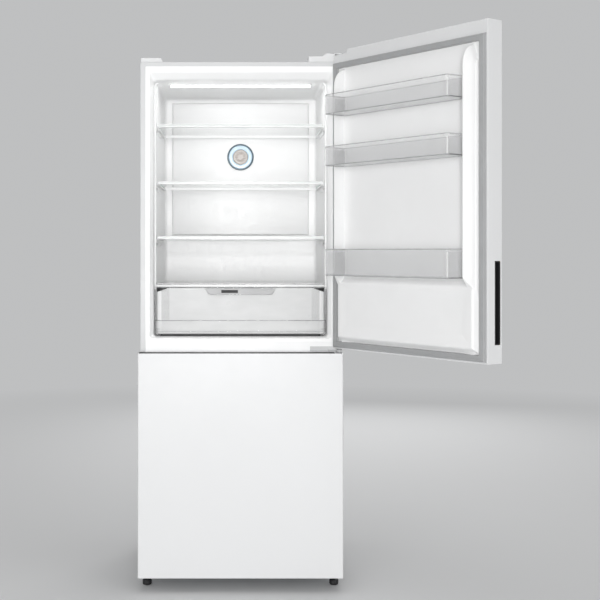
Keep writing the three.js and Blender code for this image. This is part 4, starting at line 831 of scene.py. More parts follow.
def beaded_back():
    """The back panel: flat sheet with two upright loops pressed in along it.

    With d the distance to a loop's centre line, the bead is 1.4 (1 - (d / 7)^2) deep where d < 7.
    A loop's corners have a radius of 40.
    """
    low, high = extent("back_panel")
    bead_depth, bead_half, corner = 1.4, 7, 40
    width, height = high[0] - low[0], high[2] - low[2]
    centre_x, centre_z = (low[0] + high[0]) / 2, (low[2] + high[2]) / 2
    xs, zs = samples((low[0], high[0], 4)), samples((low[2], high[2], 6))
    x, z = np.meshgrid(xs, zs)
    depth = np.zeros_like(x)
    for side_margin, end_margin in ((60, 70), (150, 180)):
        across = np.abs(x - centre_x) - (width / 2 - side_margin)
        along = np.abs(z - centre_z) - (height / 2 - end_margin)
        in_corner = (across > -corner) & (along > -corner)
        round_edge = np.hypot(np.maximum(across + corner, 0), np.maximum(along + corner, 0))
        away = np.abs(np.where(in_corner, round_edge - corner, np.maximum(across, along)))
        depth = np.maximum(depth, bead_depth * np.maximum(1 - (away / bead_half) ** 2, 0))
    return relief(xs, zs, high[1] - low[1] - depth, low[1], low[1] - 0.2, 1)


def screw(x, z, face, radius=4.5, rise=1.8):
    """A pan-head screw seen end on, standing on a back face."""
    profile = soften([[0, face - 0.5], [radius, face - 0.5], [radius, face + rise * 0.5],
                      [radius * 0.5, face + rise], [0, face + rise * 0.95]], 0.6)
    return lathe(profile, "y", (x, z), 20)


def back_screws():
    """Screws along the edges of the back panel and of the machine room's cover."""
    face, edge, inner = extent("back_panel")[1][1], 334, 110
    panel = ((edge, 1790), (edge, 1400), (edge, 1010), (edge, 620), (edge, 285), (inner, 1800))
    cover = ((edge, 240), (edge, 70), (inner, 248))
    return joined(*[screw(side * x, z, face) for side in (-1, 1) for x, z in (*panel, *cover)])


class REFRIGERATOR_OT_compartments(RefrigeratorOperator, bpy.types.Operator):
    """Form the two compartment liners and the ribs on their walls"""

    bl_idname = "refrigerator.compartments"
    bl_label = "Compartments"

    def execute(self, context):
        sizes = context.scene.refrigerator_sizes
        make_piece("upper_compartment", upper_liner(sizes), "cabinet", "liner_plastic",
                   ["fridge_liner"])
        make_piece("shelf_rails", shelf_rails(), "cabinet", "liner_plastic")
        make_piece("freezer_compartment", freezer_liner_form(sizes), "cabinet", "liner_plastic",
                   ["freezer_liner"])
        make_piece("freezer_rails", freezer_rails(), "cabinet", "liner_plastic")
        return {"FINISHED"}


# ---------------------------------------------------------------- upper compartment fittings


def duct_cover():
    """Crowned cover of the air duct.

    Its height over the back wall is 16 + 14 (1 - (x / half)^2), and within 6 of an edge it
    rounds over as a quarter circle.
    """
    low, high = extent("fridge_duct_cover")
    half, radius, side_depth, rise = high[0], 6.0, 16, 14
    xs = samples((-half, half, 12), (-half, -half + radius, 0.8), (half - radius, half, 0.8))
    zs = samples((low[2], high[2], 30), (low[2], low[2] + radius, 0.8),
                 (high[2] - radius, high[2], 0.8))
    x, z = np.meshgrid(xs, zs)
    crown = side_depth + rise * (1 - (x / half) ** 2)
    edge = np.minimum(half - np.abs(x), np.minimum(z - low[2], high[2] - z))
    drop = radius - np.sqrt(radius**2 - (radius - np.clip(edge, 0, radius)) ** 2)
    return relief(xs, zs, crown - drop, high[1], high[1] + 0.2, -1)


def purifier_bezel(low, high):
    """The purifier's thin dark rim, turned from a profile of (radius, place)."""
    seat, front = high[1], low[1]
    profile = soften_loop([[51.5, seat], [51.5, front + 3.5], [49.5, front + 1],
                           [46.5, front + 0.6], [45.5, front + 2], [45.5, seat]], 0.8, 3)
    return lathe(profile, "y", (0.0, (low[2] + high[2]) / 2), 96, True)


def purifier_ring(low, high):
    """The broad ring inside the rim, which slopes in to the face."""
    seat, front = high[1], low[1]
    profile = soften_loop([[45.4, seat], [45.4, front + 1.6], [43, front + 0.3], [34, front],
                           [29.2, front + 2], [29.2, seat]], 1.2, 3)
    return lathe(profile, "y", (0.0, (low[2] + high[2]) / 2), 96, True)


def purifier_face(low, high):
    """The purifier's middle: a dished disc with twelve low petals round it.

    Over the radius r the petals stand 0.5 (1 - cos(12 angle)) sin(pi (r - 9) / 13)^2 proud for r
    from 9 to 22, and the disc's edge rises by 1.4 ((r - 25) / 4)^2 for r from 25 to 29.
    """
    centre = ((low[0] + high[0]) / 2, (low[2] + high[2]) / 2)
    outer, sunk, petals, petal_start, petal_length, edge_width = 29, 3.2, 12, 9, 13, 4
    radius = samples((0, outer, 1.0))[:, None]
    turn = np.linspace(0, 2 * math.pi, 144, endpoint=False)[None]
    swell = np.sin(math.pi * np.clip((radius - petal_start) / petal_length, 0, 1)) ** 2
    rim = 1.4 * np.clip((radius - outer + edge_width) / edge_width, 0, 1) ** 2
    place = low[1] + sunk - 0.5 * (1 - np.cos(petals * turn)) * swell - rim
    face = onto("y", place, centre[0] + radius * np.cos(turn), centre[1] + radius * np.sin(turn))
    back = onto("y", high[1] + 0 * turn, centre[0] + outer * np.cos(turn),
                centre[1] + outer * np.sin(turn))
    return skin(np.vstack([face, back]), wrap_cols=True, cap_last=True)


class REFRIGERATOR_OT_air_duct(RefrigeratorOperator, bpy.types.Operator):
    """Form the crowned duct cover and the round purifier on it"""

    bl_idname = "refrigerator.air_duct"
    bl_label = "Air duct and purifier"

    def execute(self, context):
        make_piece("duct_cover", duct_cover(), "cabinet", "duct_plastic", ["fridge_duct_cover"])
        low, high = extent("purifier")
        make_piece("purifier_bezel", purifier_bezel(low, high), "cabinet", "blue_plastic",
                   ["purifier"],
                   material=formed_plastic("blue_grey_rim", (0.10, 0.15, 0.19), roughness=0.18))
        make_piece("purifier_ring", purifier_ring(low, high), "cabinet", "blue_plastic")
        make_piece("purifier_face", purifier_face(low, high), "cabinet", "blue_plastic",
                   material=formed_plastic("beige_face", (0.46, 0.42, 0.39), roughness=0.3,
                                           grain=600, depth=0.0003))
        return {"FINISHED"}


LENS_INSET = 3  # from the lamp's outline in to its lens


class REFRIGERATOR_OT_lamp(RefrigeratorOperator, bpy.types.Operator):
    """Form the lamp bar's lens and frame under the ceiling"""

    bl_idname = "refrigerator.lamp"
    bl_label = "Ceiling lamp"

    def execute(self, context):
        low, high = extent("ceiling_lamp")
        lens = slab("x", low + [LENS_INSET, LENS_INSET, 0], high - [LENS_INSET, LENS_INSET, 1],
                    3.5, 3)
        make_piece("lamp_lens", lens, "cabinet", "lamp_lens", ["ceiling_lamp"])
        make_piece("lamp_frame", lamp_trough(low, high), "cabinet", "white_trim")
        return {"FINISHED"}


def lamp_trough(low, high):
    """A shallow trough round the lens that keeps its light off the ceiling: a wall 2.2 mm thick
    that reaches down over the lens's upper half, closed above it."""
    rim, roof, wall = low[2] + 4.6, high[2] - 0.4, 2.2
    rows = framed("z", low, high, [(roof, 12, 2), (roof, wall, 2), (rim, wall, 2), (rim, 0, 4),
                                   (high[2], 0, 4), (high[2], 12, 2)])
    return vessel(rows, "z", [0.3, 0.3, 0.8, 0.8], 3)


PANE_CORNER = 10


def glass_pane(low, high):
    """A pane with round corners and ground edges."""
    edge = 0.6
    stations = ((low[2], 1), (low[2], 0.5), (low[2] + edge, 0), (high[2] - edge, 0),
                (high[2], 0.5), (high[2], 1))
    rows = framed("z", low, high, [(z, inset, PANE_CORNER - inset) for z, inset in stations])
    return skin(rings(rows, "z"), wrap_cols=True, cap_first=True, cap_last=True)


def pane_edge(low, high):
    """The ground edge of a pane, where the glass looks green: a band round it, 1 mm deep."""
    bottom, top, outer, inner = low[2] + 0.3, high[2] - 0.3, -0.05, 0.95
    stations = ((bottom, outer), (top, outer), (top, inner), (bottom, inner))
    rows = framed("z", low, high, [(z, inset, PANE_CORNER - inset) for z, inset in stations])
    return skin(rings(rows, "z"), wrap_rows=True, wrap_cols=True)


def front_trim(low, high, glass_low, glass_high):
    """The moulding that grips a pane's front edge: a C in section, rounded, drawn along x."""
    back, root, gap = high[1], glass_low[1], 0.1
    under, over = glass_low[2] - gap, glass_high[2] + gap
    profile = soften_loop([
        [low[1], low[2]], [back, low[2]], [back, under], [root, under], [root, over],
        [back, over], [back, high[2]], [low[1], high[2]],
    ], [2, 0.8, 0.3, 0.3, 0.3, 0.3, 0.8, 1.6], 4)
    return drawn(profile, "x", low[0], high[0], 0.4)


def rear_trim(low, high):
    """The upright strip along a pane's back edge, drawn along x."""
    return slab("x", (low[0] + 1, high[1] - 7, high[2] - 9), (high[0] - 1, high[1], high[2] + 2),
                1.5, 1)


class REFRIGERATOR_OT_shelves(RefrigeratorOperator, bpy.types.Operator):
    """Form the three glass shelves with their front and rear trims"""

    bl_idname = "refrigerator.shelves"
    bl_label = "Shelves"

    def execute(self, context):
        for body in SHELVES:
            glass, trim = extent(f"{body}_glass"), extent(f"{body}_trim")
            make_piece(f"{body}_pane", glass_pane(*glass), body, "shelf_glass", [f"{body}_glass"])
            make_piece(f"{body}_edge", pane_edge(*glass), body, "shelf_glass",
                       material=FINISHES["glass_edge"])
            make_piece(f"{body}_front", front_trim(*trim, *glass), body, "clear_trim",
                       [f"{body}_trim"])
            make_piece(f"{body}_rear", rear_trim(*glass), body, "clear_trim",
                       material=FINISHES["bright_trim"])
        return {"FINISHED"}


CREASE_HEIGHT = 50.5  # from the crisper's floor up to the crease across its front
GROOVE_HEIGHT = 13  # and up to the groove above its foot
PROUD = 0.15  # how far a dark line stands before the clear front


def crisper_rows(corner, stations):
    """Rows of the crisper front's plan: each station is a height and how far inside it runs."""
    low, high = extent("crisper_drawer")
    return [[z, high[0] - inset, low[1] + inset, corner - inset] for z, inset in stations]


def crisper_band(corner, bottom, top, inside, outside, part=slice(None)):
    """A band that follows the crisper's front round both ends, or part of it."""
    run = soften_loop(crisper_rows(corner, [
        (bottom, outside), (top, outside), (top, inside), (bottom, inside)]), 0.3, 2)
    grid = arch(run, "z", extent("crisper_drawer")[0][1] + corner, 8)[part]
    return skin(grid, wrap_cols=True, cap_first=True, cap_last=True)


def crisper_front(corner, wall):
    """The crisper's bowed front: a wall that turns back at both ends. The part above the crease
    stands 1.2 mm back, and a fine groove runs above the foot."""
    low, high = extent("crisper_drawer")
    bottom, crease, set_back, groove = low[2] + 3.5, low[2] + CREASE_HEIGHT, 1.2, 0.8
    run = soften_loop(crisper_rows(corner, [
        (bottom, 2), (bottom + 4, 0), (bottom + 9, 0), (bottom + 9 + groove, groove),
        (bottom + 9 + 2 * groove, 0), (crease, 0), (crease + 2, set_back), (high[2], set_back),
        (high[2], wall + set_back), (bottom, wall + set_back)]),
        [1, 2, 0.4, 0.3, 0.4, 0.6, 0.6, 1, 0.8, 0.8], 3)
    return skin(arch(run, "z", low[1] + corner, 8), wrap_cols=True, cap_first=True, cap_last=True)


def crisper_shade_lines(corner):
    """Painted shade on the clear front, as dark bands: along its crease, along the groove above its
    foot and over a short step at each end."""
    floor, inside = extent("crisper_drawer")[0][2], 2
    crease, groove, step = floor + CREASE_HEIGHT, floor + GROOVE_HEIGHT, floor + 20.5
    ends = (slice(0, 8), slice(12, None))
    return joined(
        crisper_band(corner, crease - 1.3, crease + 0.9, inside, -PROUD),
        crisper_band(corner, groove - 0.8, groove + 0.6, inside, -PROUD),
        *[crisper_band(corner, step - 1, step + 1, inside, -PROUD, end) for end in ends])


def crisper_bright_bands(corner, wall):
    """Painted highlight: pale uprights inside the front's round ends, where the clear front bends."""
    low, high = extent("crisper_drawer")
    ends = (slice(5, 9), slice(11, 15))
    return joined(*[crisper_band(corner, low[2] + 6, high[2] - 10, wall + 1, 0.9, end)
                    for end in ends])


def crisper_dark_bands():
    """Painted shade: thin grey bands beside the uprights, where the front looks a little darker."""
    low, high = extent("crisper_drawer")
    inner, outer, y, thick = high[0] - 50, high[0] - 28, low[1] + 0.9, 0.8
    return mirrored(slab("z", (inner, y, low[2] + 6), (outer, y + thick, high[2] - 4), 0.3, 0.3))


def crisper_gap_shadow():
    """Painted shadow of the gaps: a dark band behind the front's outline, thin up both sides and under the foot.
    """
    low, high = extent("crisper_drawer")
    outer, foot, corner, near, far, thick = high[0] + 1.9, low[2] - 3.2, 12, 60, 66, 1.5
    run = soften_loop([[y, outer - inset, foot + inset, corner - inset]
                       for y, inset in ((near, 0), (far, 0), (far, thick), (near, thick))], 0.5, 2)
    return skin(arch(run, "y", high[2] - 5, 6), wrap_cols=True, cap_first=True, cap_last=True)


def crisper_sill_shadow():
    """Painted shadow: a dark strip under the front, where the drawer shades the sill."""
    low, high = extent("crisper_drawer")
    margin, near, far = 20, 44, 66
    return slab("x", (low[0] + margin, near, low[2] - 3.9), (high[0] - margin, far, low[2] + 3.4),
                1.5, 6)


def crisper_shadow_wedges(corner):
    """Painted shadow in the gaps at the front's top corners: each dark wedge follows the front, and
    its height falls from 14 to 2 mm over 36 mm towards the middle."""
    low, high = extent("crisper_drawer")
    length, margin, least, most = 36, 6, 2, 14
    x = np.linspace(high[0] - margin - length, high[0] - margin, 12)
    round_part = np.maximum(x - high[0] + corner, 0)
    y = low[1] + corner - np.sqrt(corner**2 - round_part**2)
    near, far = y + 0.2, y + 4.5
    height = least + (most - least) * (x - x[0]) / length
    top = np.full_like(x, high[2] + 0.1)
    loops = [[near, top], [near, top - height], [far, top - height], [far, top]]
    grid = np.stack([np.stack([x, place, z], axis=-1) for place, z in loops], axis=1)
    return mirrored(skin(grid, wrap_cols=True, cap_first=True, cap_last=True))


def cover_shade_line(low, high, z, tall):
    """Painted shade: a dark line along the crisper cover's front moulding."""
    return slab("x", (low[0], low[1] - 0.3, z), (high[0], low[1] + 1.6, z + tall), 0.4, 0.4)


def open_box(low, high, wall, corner, reach=3.0):
    """A box without a lid: up the outside, over the rim and down the inside."""
    floor, spread = low[2] + wall, 14
    stations = ((low[2], spread), (low[2], 0), (high[2], 0), (high[2], wall), (floor, wall),
                (floor, wall + spread))
    rows = framed("z", low, high, [(z, inset, max(corner - inset, 0.5)) for z, inset in stations])
    return vessel(rows, "z", [reach, 0.8, 0.8, reach])


def crisper_box(wall):
    """The crisper's box, behind its front and clear of the runners on both sides."""
    low, high = extent("crisper_drawer")
    side = 19
    return open_box((low[0] + side, low[1] + wall + 2, low[2]),
                    (high[0] - side, high[1], high[2] - 3), wall, 12)


def handle_outline(low, high, inset=0.0):
    """Trapezium of the handle panel, 14 mm wider at each end of its top, with round corners."""
    top, bottom = high[0] - inset, high[0] - 14 - inset
    corners = [[-top, high[2] - inset], [-bottom, low[2] + inset], [bottom, low[2] + inset],
               [top, high[2] - inset]]
    return soften_loop(corners, [2, 5, 5, 2], 4)


class REFRIGERATOR_OT_crisper(RefrigeratorOperator, bpy.types.Operator):
    """Form the crisper: its cover, drawer, handle panel and humidity slider"""

    bl_idname = "refrigerator.crisper"
    bl_label = "Crisper"

    def execute(self, context):
        sizes = context.scene.refrigerator_sizes
        corner, wall = sizes.crisper_corner / MM, sizes.plastic_wall / MM
        glass, trim = extent("crisper_cover_glass"), extent("crisper_cover_trim")
        make_piece("crisper_cover", glass_pane(*glass), "cabinet", "shelf_glass",
                   ["crisper_cover_glass"])
        make_piece("crisper_cover_front", front_trim(*trim, *glass), "cabinet", "clear_trim",
                   ["crisper_cover_trim"])
        make_piece("crisper_face", crisper_front(corner, wall), "crisper", "clear_plastic",
                   ["crisper_drawer"],
                   material=clear_moulding("frosted_front", (0.87, 0.875, 0.875), roughness=0.3,
                                           face_on=0.5, edge_on=0.9))
        # Painted light on the crisper front, piece by piece: dark lines for shade at its crease, groove and end
        # steps; pale bands for the highlight in its round ends; grey bands for shade beside them; dark bands for
        # shadow in the gaps round it, under its foot and at its top corners.
        for name, shape, slot, finish in (
                ("lines", crisper_shade_lines(corner), "clear_plastic", "clear_edge"),
                ("highlight_bands", crisper_bright_bands(corner, wall), "clear_plastic", "painted_highlight_pale"),
                ("shade_bands", crisper_dark_bands(), "clear_plastic", "painted_shade_band"),
                ("seal", crisper_gap_shadow(), "dark_plastic", "painted_shadow_line"),
                ("foot", crisper_sill_shadow(), "dark_plastic", "dark_plastic"),
                ("corner_shadows", crisper_shadow_wedges(corner), "dark_plastic", "dark_plastic")):
            make_piece(f"crisper_{name}", shape, "crisper", slot, material=FINISHES[finish])
        # Painted shadow along the cover's front moulding: a dark line under its top edge and a grey one along its
        # foot.
        make_piece("crisper_cover_top_shadow", cover_shade_line(*trim, trim[1][2] - 4.4, 2.6), "cabinet",
                   "clear_trim", material=FINISHES["painted_shadow_line"])
        make_piece("crisper_cover_low_shadow", cover_shade_line(*trim, trim[0][2] - 0.2, 1.8), "cabinet",
                   "clear_trim", material=FINISHES["clear_edge"])
        make_piece("crisper_box", crisper_box(wall), "crisper", "clear_plastic")
        panel = extent("crisper_handle_panel")
        make_piece("crisper_control", control_panel(*panel), "crisper", "clear_trim",
                   ["crisper_handle_panel"],
                   material=clear_moulding("smoked_panel", (0.52, 0.522, 0.525), roughness=0.3,
                                           face_on=0.6, edge_on=0.9))
        make_piece("crisper_control_edge", control_outline(*panel), "crisper", "clear_trim",
                   material=FINISHES["clear_edge"])
        make_piece("crisper_scale", humidity_scale(), "crisper", "clear_trim",
                   material=FINISHES["clear_edge"])
        make_piece("crisper_slider", slider(), "humidity_control", "dark_plastic",
                   ["humidity_slider"])
        return {"FINISHED"}


def nested_outlines(low, high, rows):
    """A grid of the handle panel's outline, once for each (place in y, inset) of the rows."""
    outlines = np.stack([handle_outline(low, high, inset) for _, inset in rows])
    places = np.array([place for place, _ in rows])[:, None]
    return onto("y", places + 0 * outlines[..., 0], outlines[..., 0], outlines[..., 1])


def control_panel(low, high):
    """The handle panel: a thin trapezium with a raised rim round a sunk middle."""
    front, sunk = low[1], low[1] + 1.2
    rows = [(high[1], 0.0), (front + 3, 0.0), (front + 0.6, 0.0), (front, 0.8), (front, 2.4),
            (sunk, 3.2), (sunk, 9)]
    return skin(nested_outlines(low, high, rows), wrap_cols=True, cap_first=True, cap_last=True)


def control_outline(low, high):
    """A grey line 1.3 mm wide round the handle panel."""
    front, back, wide = low[1] - 0.2, low[1] + 1, 1.3
    rows = ((front, 0.0), (front, wide), (back, wide), (back, 0.0))
    return skin(nested_outlines(low, high, rows), wrap_rows=True, wrap_cols=True)


def humidity_scale():
    """A generic humidity scale: six bars that grow from 1 to 3.5 mm."""
    low, high = extent("crisper_handle_panel")
    count, wide, foot, front = 6, 3.4, high[2] - 8, low[1] + 0.6
    places, heights = np.linspace(78, 106, count), np.linspace(1, 3.5, count)
    return joined(*[slab("z", (x, front, foot), (x + wide, front + 1, foot + tall), 0.3, 0.2)
                    for x, tall in zip(places, heights)])


def slider():
    """The humidity slider: a low bar with seven grip ribs across it."""
    low, high = extent("humidity_slider")
    bar, half_rib, margin, count = 1.2, 1, 8, 7
    base = slab("x", (low[0], low[1] + bar, low[2]), high, 1.5, 1.2)
    ribs = [slab("z", (x - half_rib, low[1], low[2] + bar),
                 (x + half_rib, low[1] + 2, high[2] - bar), 0.8, 0.8)
            for x in np.linspace(low[0] + margin, high[0] - margin, count)]
    return joined(base, *ribs)


# ---------------------------------------------------------------- freezer and machine room


FLANGE_WIDTH = 8  # from a freezer drawer's box out to the edge of its flanges
DRAWER_CORNER = 14


def freezer_drawer(node, wall):
    """A drawer's open box with the flanges that run on the side walls' ribs."""
    low, high = extent(node)
    inward = np.array([FLANGE_WIDTH, 0, 0])
    box = open_box(low + inward, high - inward, wall, DRAWER_CORNER, 6)
    bottom, thick, bury = high[2] - FLANGE_DROP, 3, 2
    flange = slab("y", (high[0] - FLANGE_WIDTH - bury, low[1] + 8, bottom),
                  (high[0], high[1], bottom + thick), 1.2, 1)
    return joined(box, mirrored(flange))


def drawer_edge_shade(node):
    """Painted shade on a drawer's clear plastic, in dark grey: a bead round its rim, the grip across its
    front and the two ribs beside the grip."""
    low, high = extent(node)
    inward, top, bottom, outer, inner = (
        np.array([FLANGE_WIDTH, 0, 0]), high[2], high[2] - 3.6, -0.3, 3.2)
    loop = soften_loop([[bottom, outer], [top, outer], [top, inner], [bottom, inner]], 0.6, 2)
    rows = framed("z", low + inward, high - inward,
                  [(z, inset, DRAWER_CORNER - inset) for z, inset in loop])
    bead = skin(rings(rows, "z", 7), wrap_rows=True, wrap_cols=True)
    front, half, grip_low = low[1] - 0.8, 120, high[2] - 34
    grip = slab("x", (-half, front, grip_low), (half, front + 12, grip_low + 3), 1.2, 3)
    rib = slab("z", (half - 2, front, grip_low), (half + 1, front + 6, high[2] - 6), 1, 1)
    return joined(bead, grip, mirrored(rib))


class REFRIGERATOR_OT_freezer(RefrigeratorOperator, bpy.types.Operator):
    """Form the freezer drawers and finish the air circuit behind them"""

    bl_idname = "refrigerator.freezer"
    bl_label = "Freezer fittings"

    def execute(self, context):
        wall = context.scene.refrigerator_sizes.plastic_wall / MM
        for node in FREEZER_DRAWERS:
            make_piece(f"{node}_tub", freezer_drawer(node, wall), "cabinet", "clear_plastic",
                       [node])
            # dark grey rim, grip and ribs: painted shade on the clear drawer
            make_piece(f"{node}_edges", drawer_edge_shade(node), "cabinet", "clear_plastic",
                       material=FINISHES["clear_edge"])
        for node, edge in (("freezer_duct_cover", 0.6), ("evaporator", 0.0), ("fan_motor", 0.6),
                           ("fan_blade", 0.4)):
            dress_node(node, edge)
        return {"FINISHED"}


class REFRIGERATOR_OT_machine_room(RefrigeratorOperator, bpy.types.Operator):
    """Finish the compressor, the condenser and the drain pan"""

    bl_idname = "refrigerator.machine_room"
    bl_label = "Machine room"

    def execute(self, context):
        for node, edge in (("compressor", 0.0), ("condenser", 0.0), ("drain_pan", 0.8)):
            dress_node(node, edge)
        return {"FINISHED"}


# ---------------------------------------------------------------- hinges, covers, feet


class REFRIGERATOR_OT_hinges(RefrigeratorOperator, bpy.types.Operator):
    """Finish the hinge brackets and the covers on the top corners"""

    bl_idname = "refrigerator.hinges"
    bl_label = "Hinges and covers"

    def execute(self, context):
        edge = context.scene.refrigerator_sizes.cover_edge / MM
        dress_node("top_hinge_cover", edge)
        dress_node("top_left_cover", edge)
        dress_node("top_hinge_bracket", 0.5, painted_steel("hinge_paint", (0.74, 0.745, 0.75)))
        for node in ("middle_hinge_bracket", "bottom_hinge_bracket"):
            dress_node(node, 0.5, painted_steel(f"{node}_paint", (0.58, 0.585, 0.59)))
        make_piece("middle_hinge_bush", middle_hinge_bush(), "cabinet", "dark_plastic")
        return {"FINISHED"}


def middle_hinge_bush():
    """Dark bush round the pin between the two doors."""
    top = extent("fridge_door_panel", True)[0][2] - 3.2
    bottom = extent("freezer_door_panel")[1][2] + 5
    bore, outer = 5.2, 8.5
    profile = soften_loop([[bore, bottom], [outer, bottom], [outer, top], [bore, top]], 0.8, 3)
    return lathe(profile, "z", DOOR_PIN, 40, True)


class REFRIGERATOR_OT_feet(RefrigeratorOperator, bpy.types.Operator):
    """Form the levelling feet and the rollers"""

    bl_idname = "refrigerator.feet"
    bl_label = "Feet and rollers"

    def execute(self, context):
        for side in ("left", "right"):
            make_piece(f"levelling_foot_{side}", levelling_foot(*extent(f"foot_{side}")),
                       f"foot_{side[0]}", "dark_plastic", [f"foot_{side}"])
            make_piece(f"roller_wheel_{side}", roller_wheel(*extent(f"roller_{side}")),
                       f"roller_{side[0]}", "dark_plastic", [f"roller_{side}"])
        return {"FINISHED"}


def levelling_foot(low, high):
    """A foot with sixteen grip lobes under a plain stem, turned from a profile of (radius,
    height)."""
    centre = ((low[0] + high[0]) / 2, (low[1] + high[1]) / 2)
    stem = 5
    profile = soften([[0, 0.2], [10, 0.2], [12, 0], [15.9, 4], [15.9, 17], [13, 20], [7, 20.5],
                      [stem, 22], [stem, high[2]], [0, high[2]]], 1.2, 3)
    return lathe(profile, "z", centre, 96, lobes=16, lobe_depth=0.9)


def roller_wheel(low, high):
    """A wheel with a bore, its tread's edges eased."""
    centre = ((low[1] + high[1]) / 2, (low[2] + high[2]) / 2)
    bore, side, tread = 5.4, 19, 19.9
    profile = soften_loop([[bore, low[0]], [side, low[0]], [tread, low[0] + 3],
                           [tread, high[0] - 3], [side, high[0]], [bore, high[0]]], 1, 3)
    return lathe(profile, "x", centre, 48, True)


# ---------------------------------------------------------------- doors


def walled(outer, inner, keep):
    """A closed sheet between two grids of points.

    Cell (i, j) of both grids is there where keep[i, j] is true, and a wall joins the two grids
    along every edge that only one kept cell has.
    """
    height, width = outer.shape[:2]
    count = height * width
    index = np.arange(count).reshape(height, width)
    quads = np.stack([index[:-1, :-1], index[:-1, 1:], index[1:, 1:], index[1:, :-1]], -1)[keep]
    edges = np.stack([quads, np.roll(quads, -1, axis=1)], axis=-1).reshape(-1, 2)
    alone = ~np.isin(edges @ [count, 1], edges @ [1, count])
    start, stop = edges[alone].T
    walls = np.stack([start, start + count, stop + count, stop], axis=-1)
    faces = np.vstack([quads, quads[:, ::-1] + count, walls])
    return np.vstack([outer.reshape(-1, 3), inner.reshape(-1, 3)]), faces.tolist()


DOOR_SHEET = 1.0  # thickness of the doors' steel
HINGE_RECESS = 26  # from the hinge pin to the wall in front of its bracket


def door_plan(low, high, inset, sides):
    """Plan of a door's sheet from the free side's return round the front to the hinge side's,
    with points added on the sides at the given places in y."""
    left, right, front, back = low[0] + inset, high[0] - inset, low[1] + inset, high[1] - inset
    reach, bend = 10, 5 - inset
    plan = soften([[low[0] + reach, back], [left, back], [left, front], [right, front],
                   [right, back], [high[0] - reach, back]], [1, bend, bend, 1], 6)
    added = [[side, y] for side in (left, right) for y in sides]
    order = np.argsort([path_place(plan, point) for point in [*plan, *added]], kind="stable")
    return np.vstack([plan, added])[order]


def door_front(low, high, pocket, caps, notch):
    """A door's folded steel front: one sheet over the front, both sides and a return behind each.

    The finger pocket's window and the hinge notch, given by where it starts in y and z, are left
    open, and so are the returns beside the bottom and top caps, given by their heights.
    """
    window_low, window_high = pocket
    levels = np.unique([low[2], low[2] + caps[0], window_low[2], window_high[2], notch[1],
                        high[2] - caps[1], high[2]])
    plans = [door_plan(low, high, inset, (window_low[1], window_high[1], notch[0]))
             for inset in (0.0, DOOR_SHEET)]
    outer, inner = (onto("z", levels[:, None], plan[:, 0], plan[:, 1]) for plan in plans)
    x, y, z = ((outer[:-1, :-1] + outer[1:, 1:]) / 2).transpose(2, 0, 1)
    window = ((x < low[0] + 0.1) & (y > window_low[1]) & (y < window_high[1])
              & (z > window_low[2]) & (z < window_high[2]))
    beside_cap = (z < low[2] + caps[0]) | (z > high[2] - caps[1])
    returns = (np.abs(x) < high[0] - 1.2 * DOOR_SHEET) & (y > high[1] - 2 * DOOR_SHEET)
    hinge_width = 21
    hinge = (x > high[0] - hinge_width) & (y > notch[0]) & (z > notch[1])
    return walled(outer, inner, ~(window | (beside_cap & returns) | hinge))


def path_place(path, point):
    """How far along a path of straight runs the nearest place to a point lies."""
    runs = np.diff(path, axis=0)
    lengths = np.hypot(*runs.T)
    along = np.clip(((point - path[:-1]) * runs).sum(axis=1) / np.maximum(lengths**2, 1e-12), 0, 1)
    away = np.hypot(*(path[:-1] + along[:, None] * runs - point).T)
    nearest = int(np.argmin(away))
    return lengths[:nearest].sum() + along[nearest] * lengths[nearest]


def finger_pocket(low, high, wall=3.0):
    """The pocket in a door's free side, open towards -X, with a lip that the fingers pull on."""
    mouth, bottom, eased, lip, lip_depth = low[0], high[0], 0.4, 0.6, 5
    rows = framed("x", low, high, [
        (bottom, 8, 2), (bottom, 0, 6), (mouth + eased, 0, 6), (mouth, eased, 6),
        (mouth, wall, 4), (mouth + lip_depth, wall + lip, 4), (bottom - wall, wall, 4),
        (bottom - wall, 9, 1)])
    return vessel(rows, "x", [2, 0.2, 0.2, 0.6, 2, 3], 3)


def gasket_ring(low, high):
    """A magnetic gasket: its section, drawn as (inset from the outer edge, place in y), runs
    round the rectangle with mitred corners. Two folds lie between the door and the magnet
    strip."""
    near, far = low[1], high[1]
    section = soften_loop([
        [0.0, near], [0.4, near + 3], [2.2, near + 4.2], [2.6, near + 6], [1.6, near + 7.4],
        [3.2, far - 0.6], [5.0, far], [8.4, far], [9.2, far - 0.9], [10, far], [19.0, far],
        [20.4, far - 1.0], [19.6, near + 6.6], [21.2, near + 4.6], [20.8, near + 3], [22.0, near],
    ], 0.5, 2)
    mitre = 0.01
    rows = framed("y", low, high, [(y, inset, mitre) for inset, y in section])
    return skin(rings(rows, "y", 1), wrap_rows=True, wrap_cols=True)


SHEET_BASE = -12  # where the doors' inner sheets lie flat, in y
PANEL_HEIGHT = 20  # of the upper door's lower panel over that
RIDGE_INNER, RIDGE_OUTER = 290.2, 318  # from the middle to the ridges' two sides


def ridge_height(across, z, lift, fillet):
    """Height of the two ridges over the distance from the middle and z.

    A ridge is lift x sqrt(1 - s^2 - e^2) high, with s how far down its outer slope and e how far
    down its round top end a place is. Its inner side is a steep ramp, its lower end one of 0.9
    in 1.
    """
    top_end, round_length, low_end, none_below = 1714, 61, 1079, 1030
    side = np.interp(across, [295, 297.5, 300.5, 304, 308, 311.5, RIDGE_OUTER],
                     [0, 0.36, 0.58, 0.74, 0.86, 0.955, 1])
    end = np.clip((z - top_end) / round_length, 0, 1)
    round_off = 1 - side**2 - end**2
    ridge = np.where(round_off > 0, lift * np.sqrt(np.maximum(round_off, 0)), 20 * round_off)
    ridge = smooth_least(ridge, (across - RIDGE_INNER) * 30, 2)
    ridge = smooth_least(ridge, lift - (low_end - z) * 0.9, fillet)
    return np.where(z > none_below, ridge, -20)


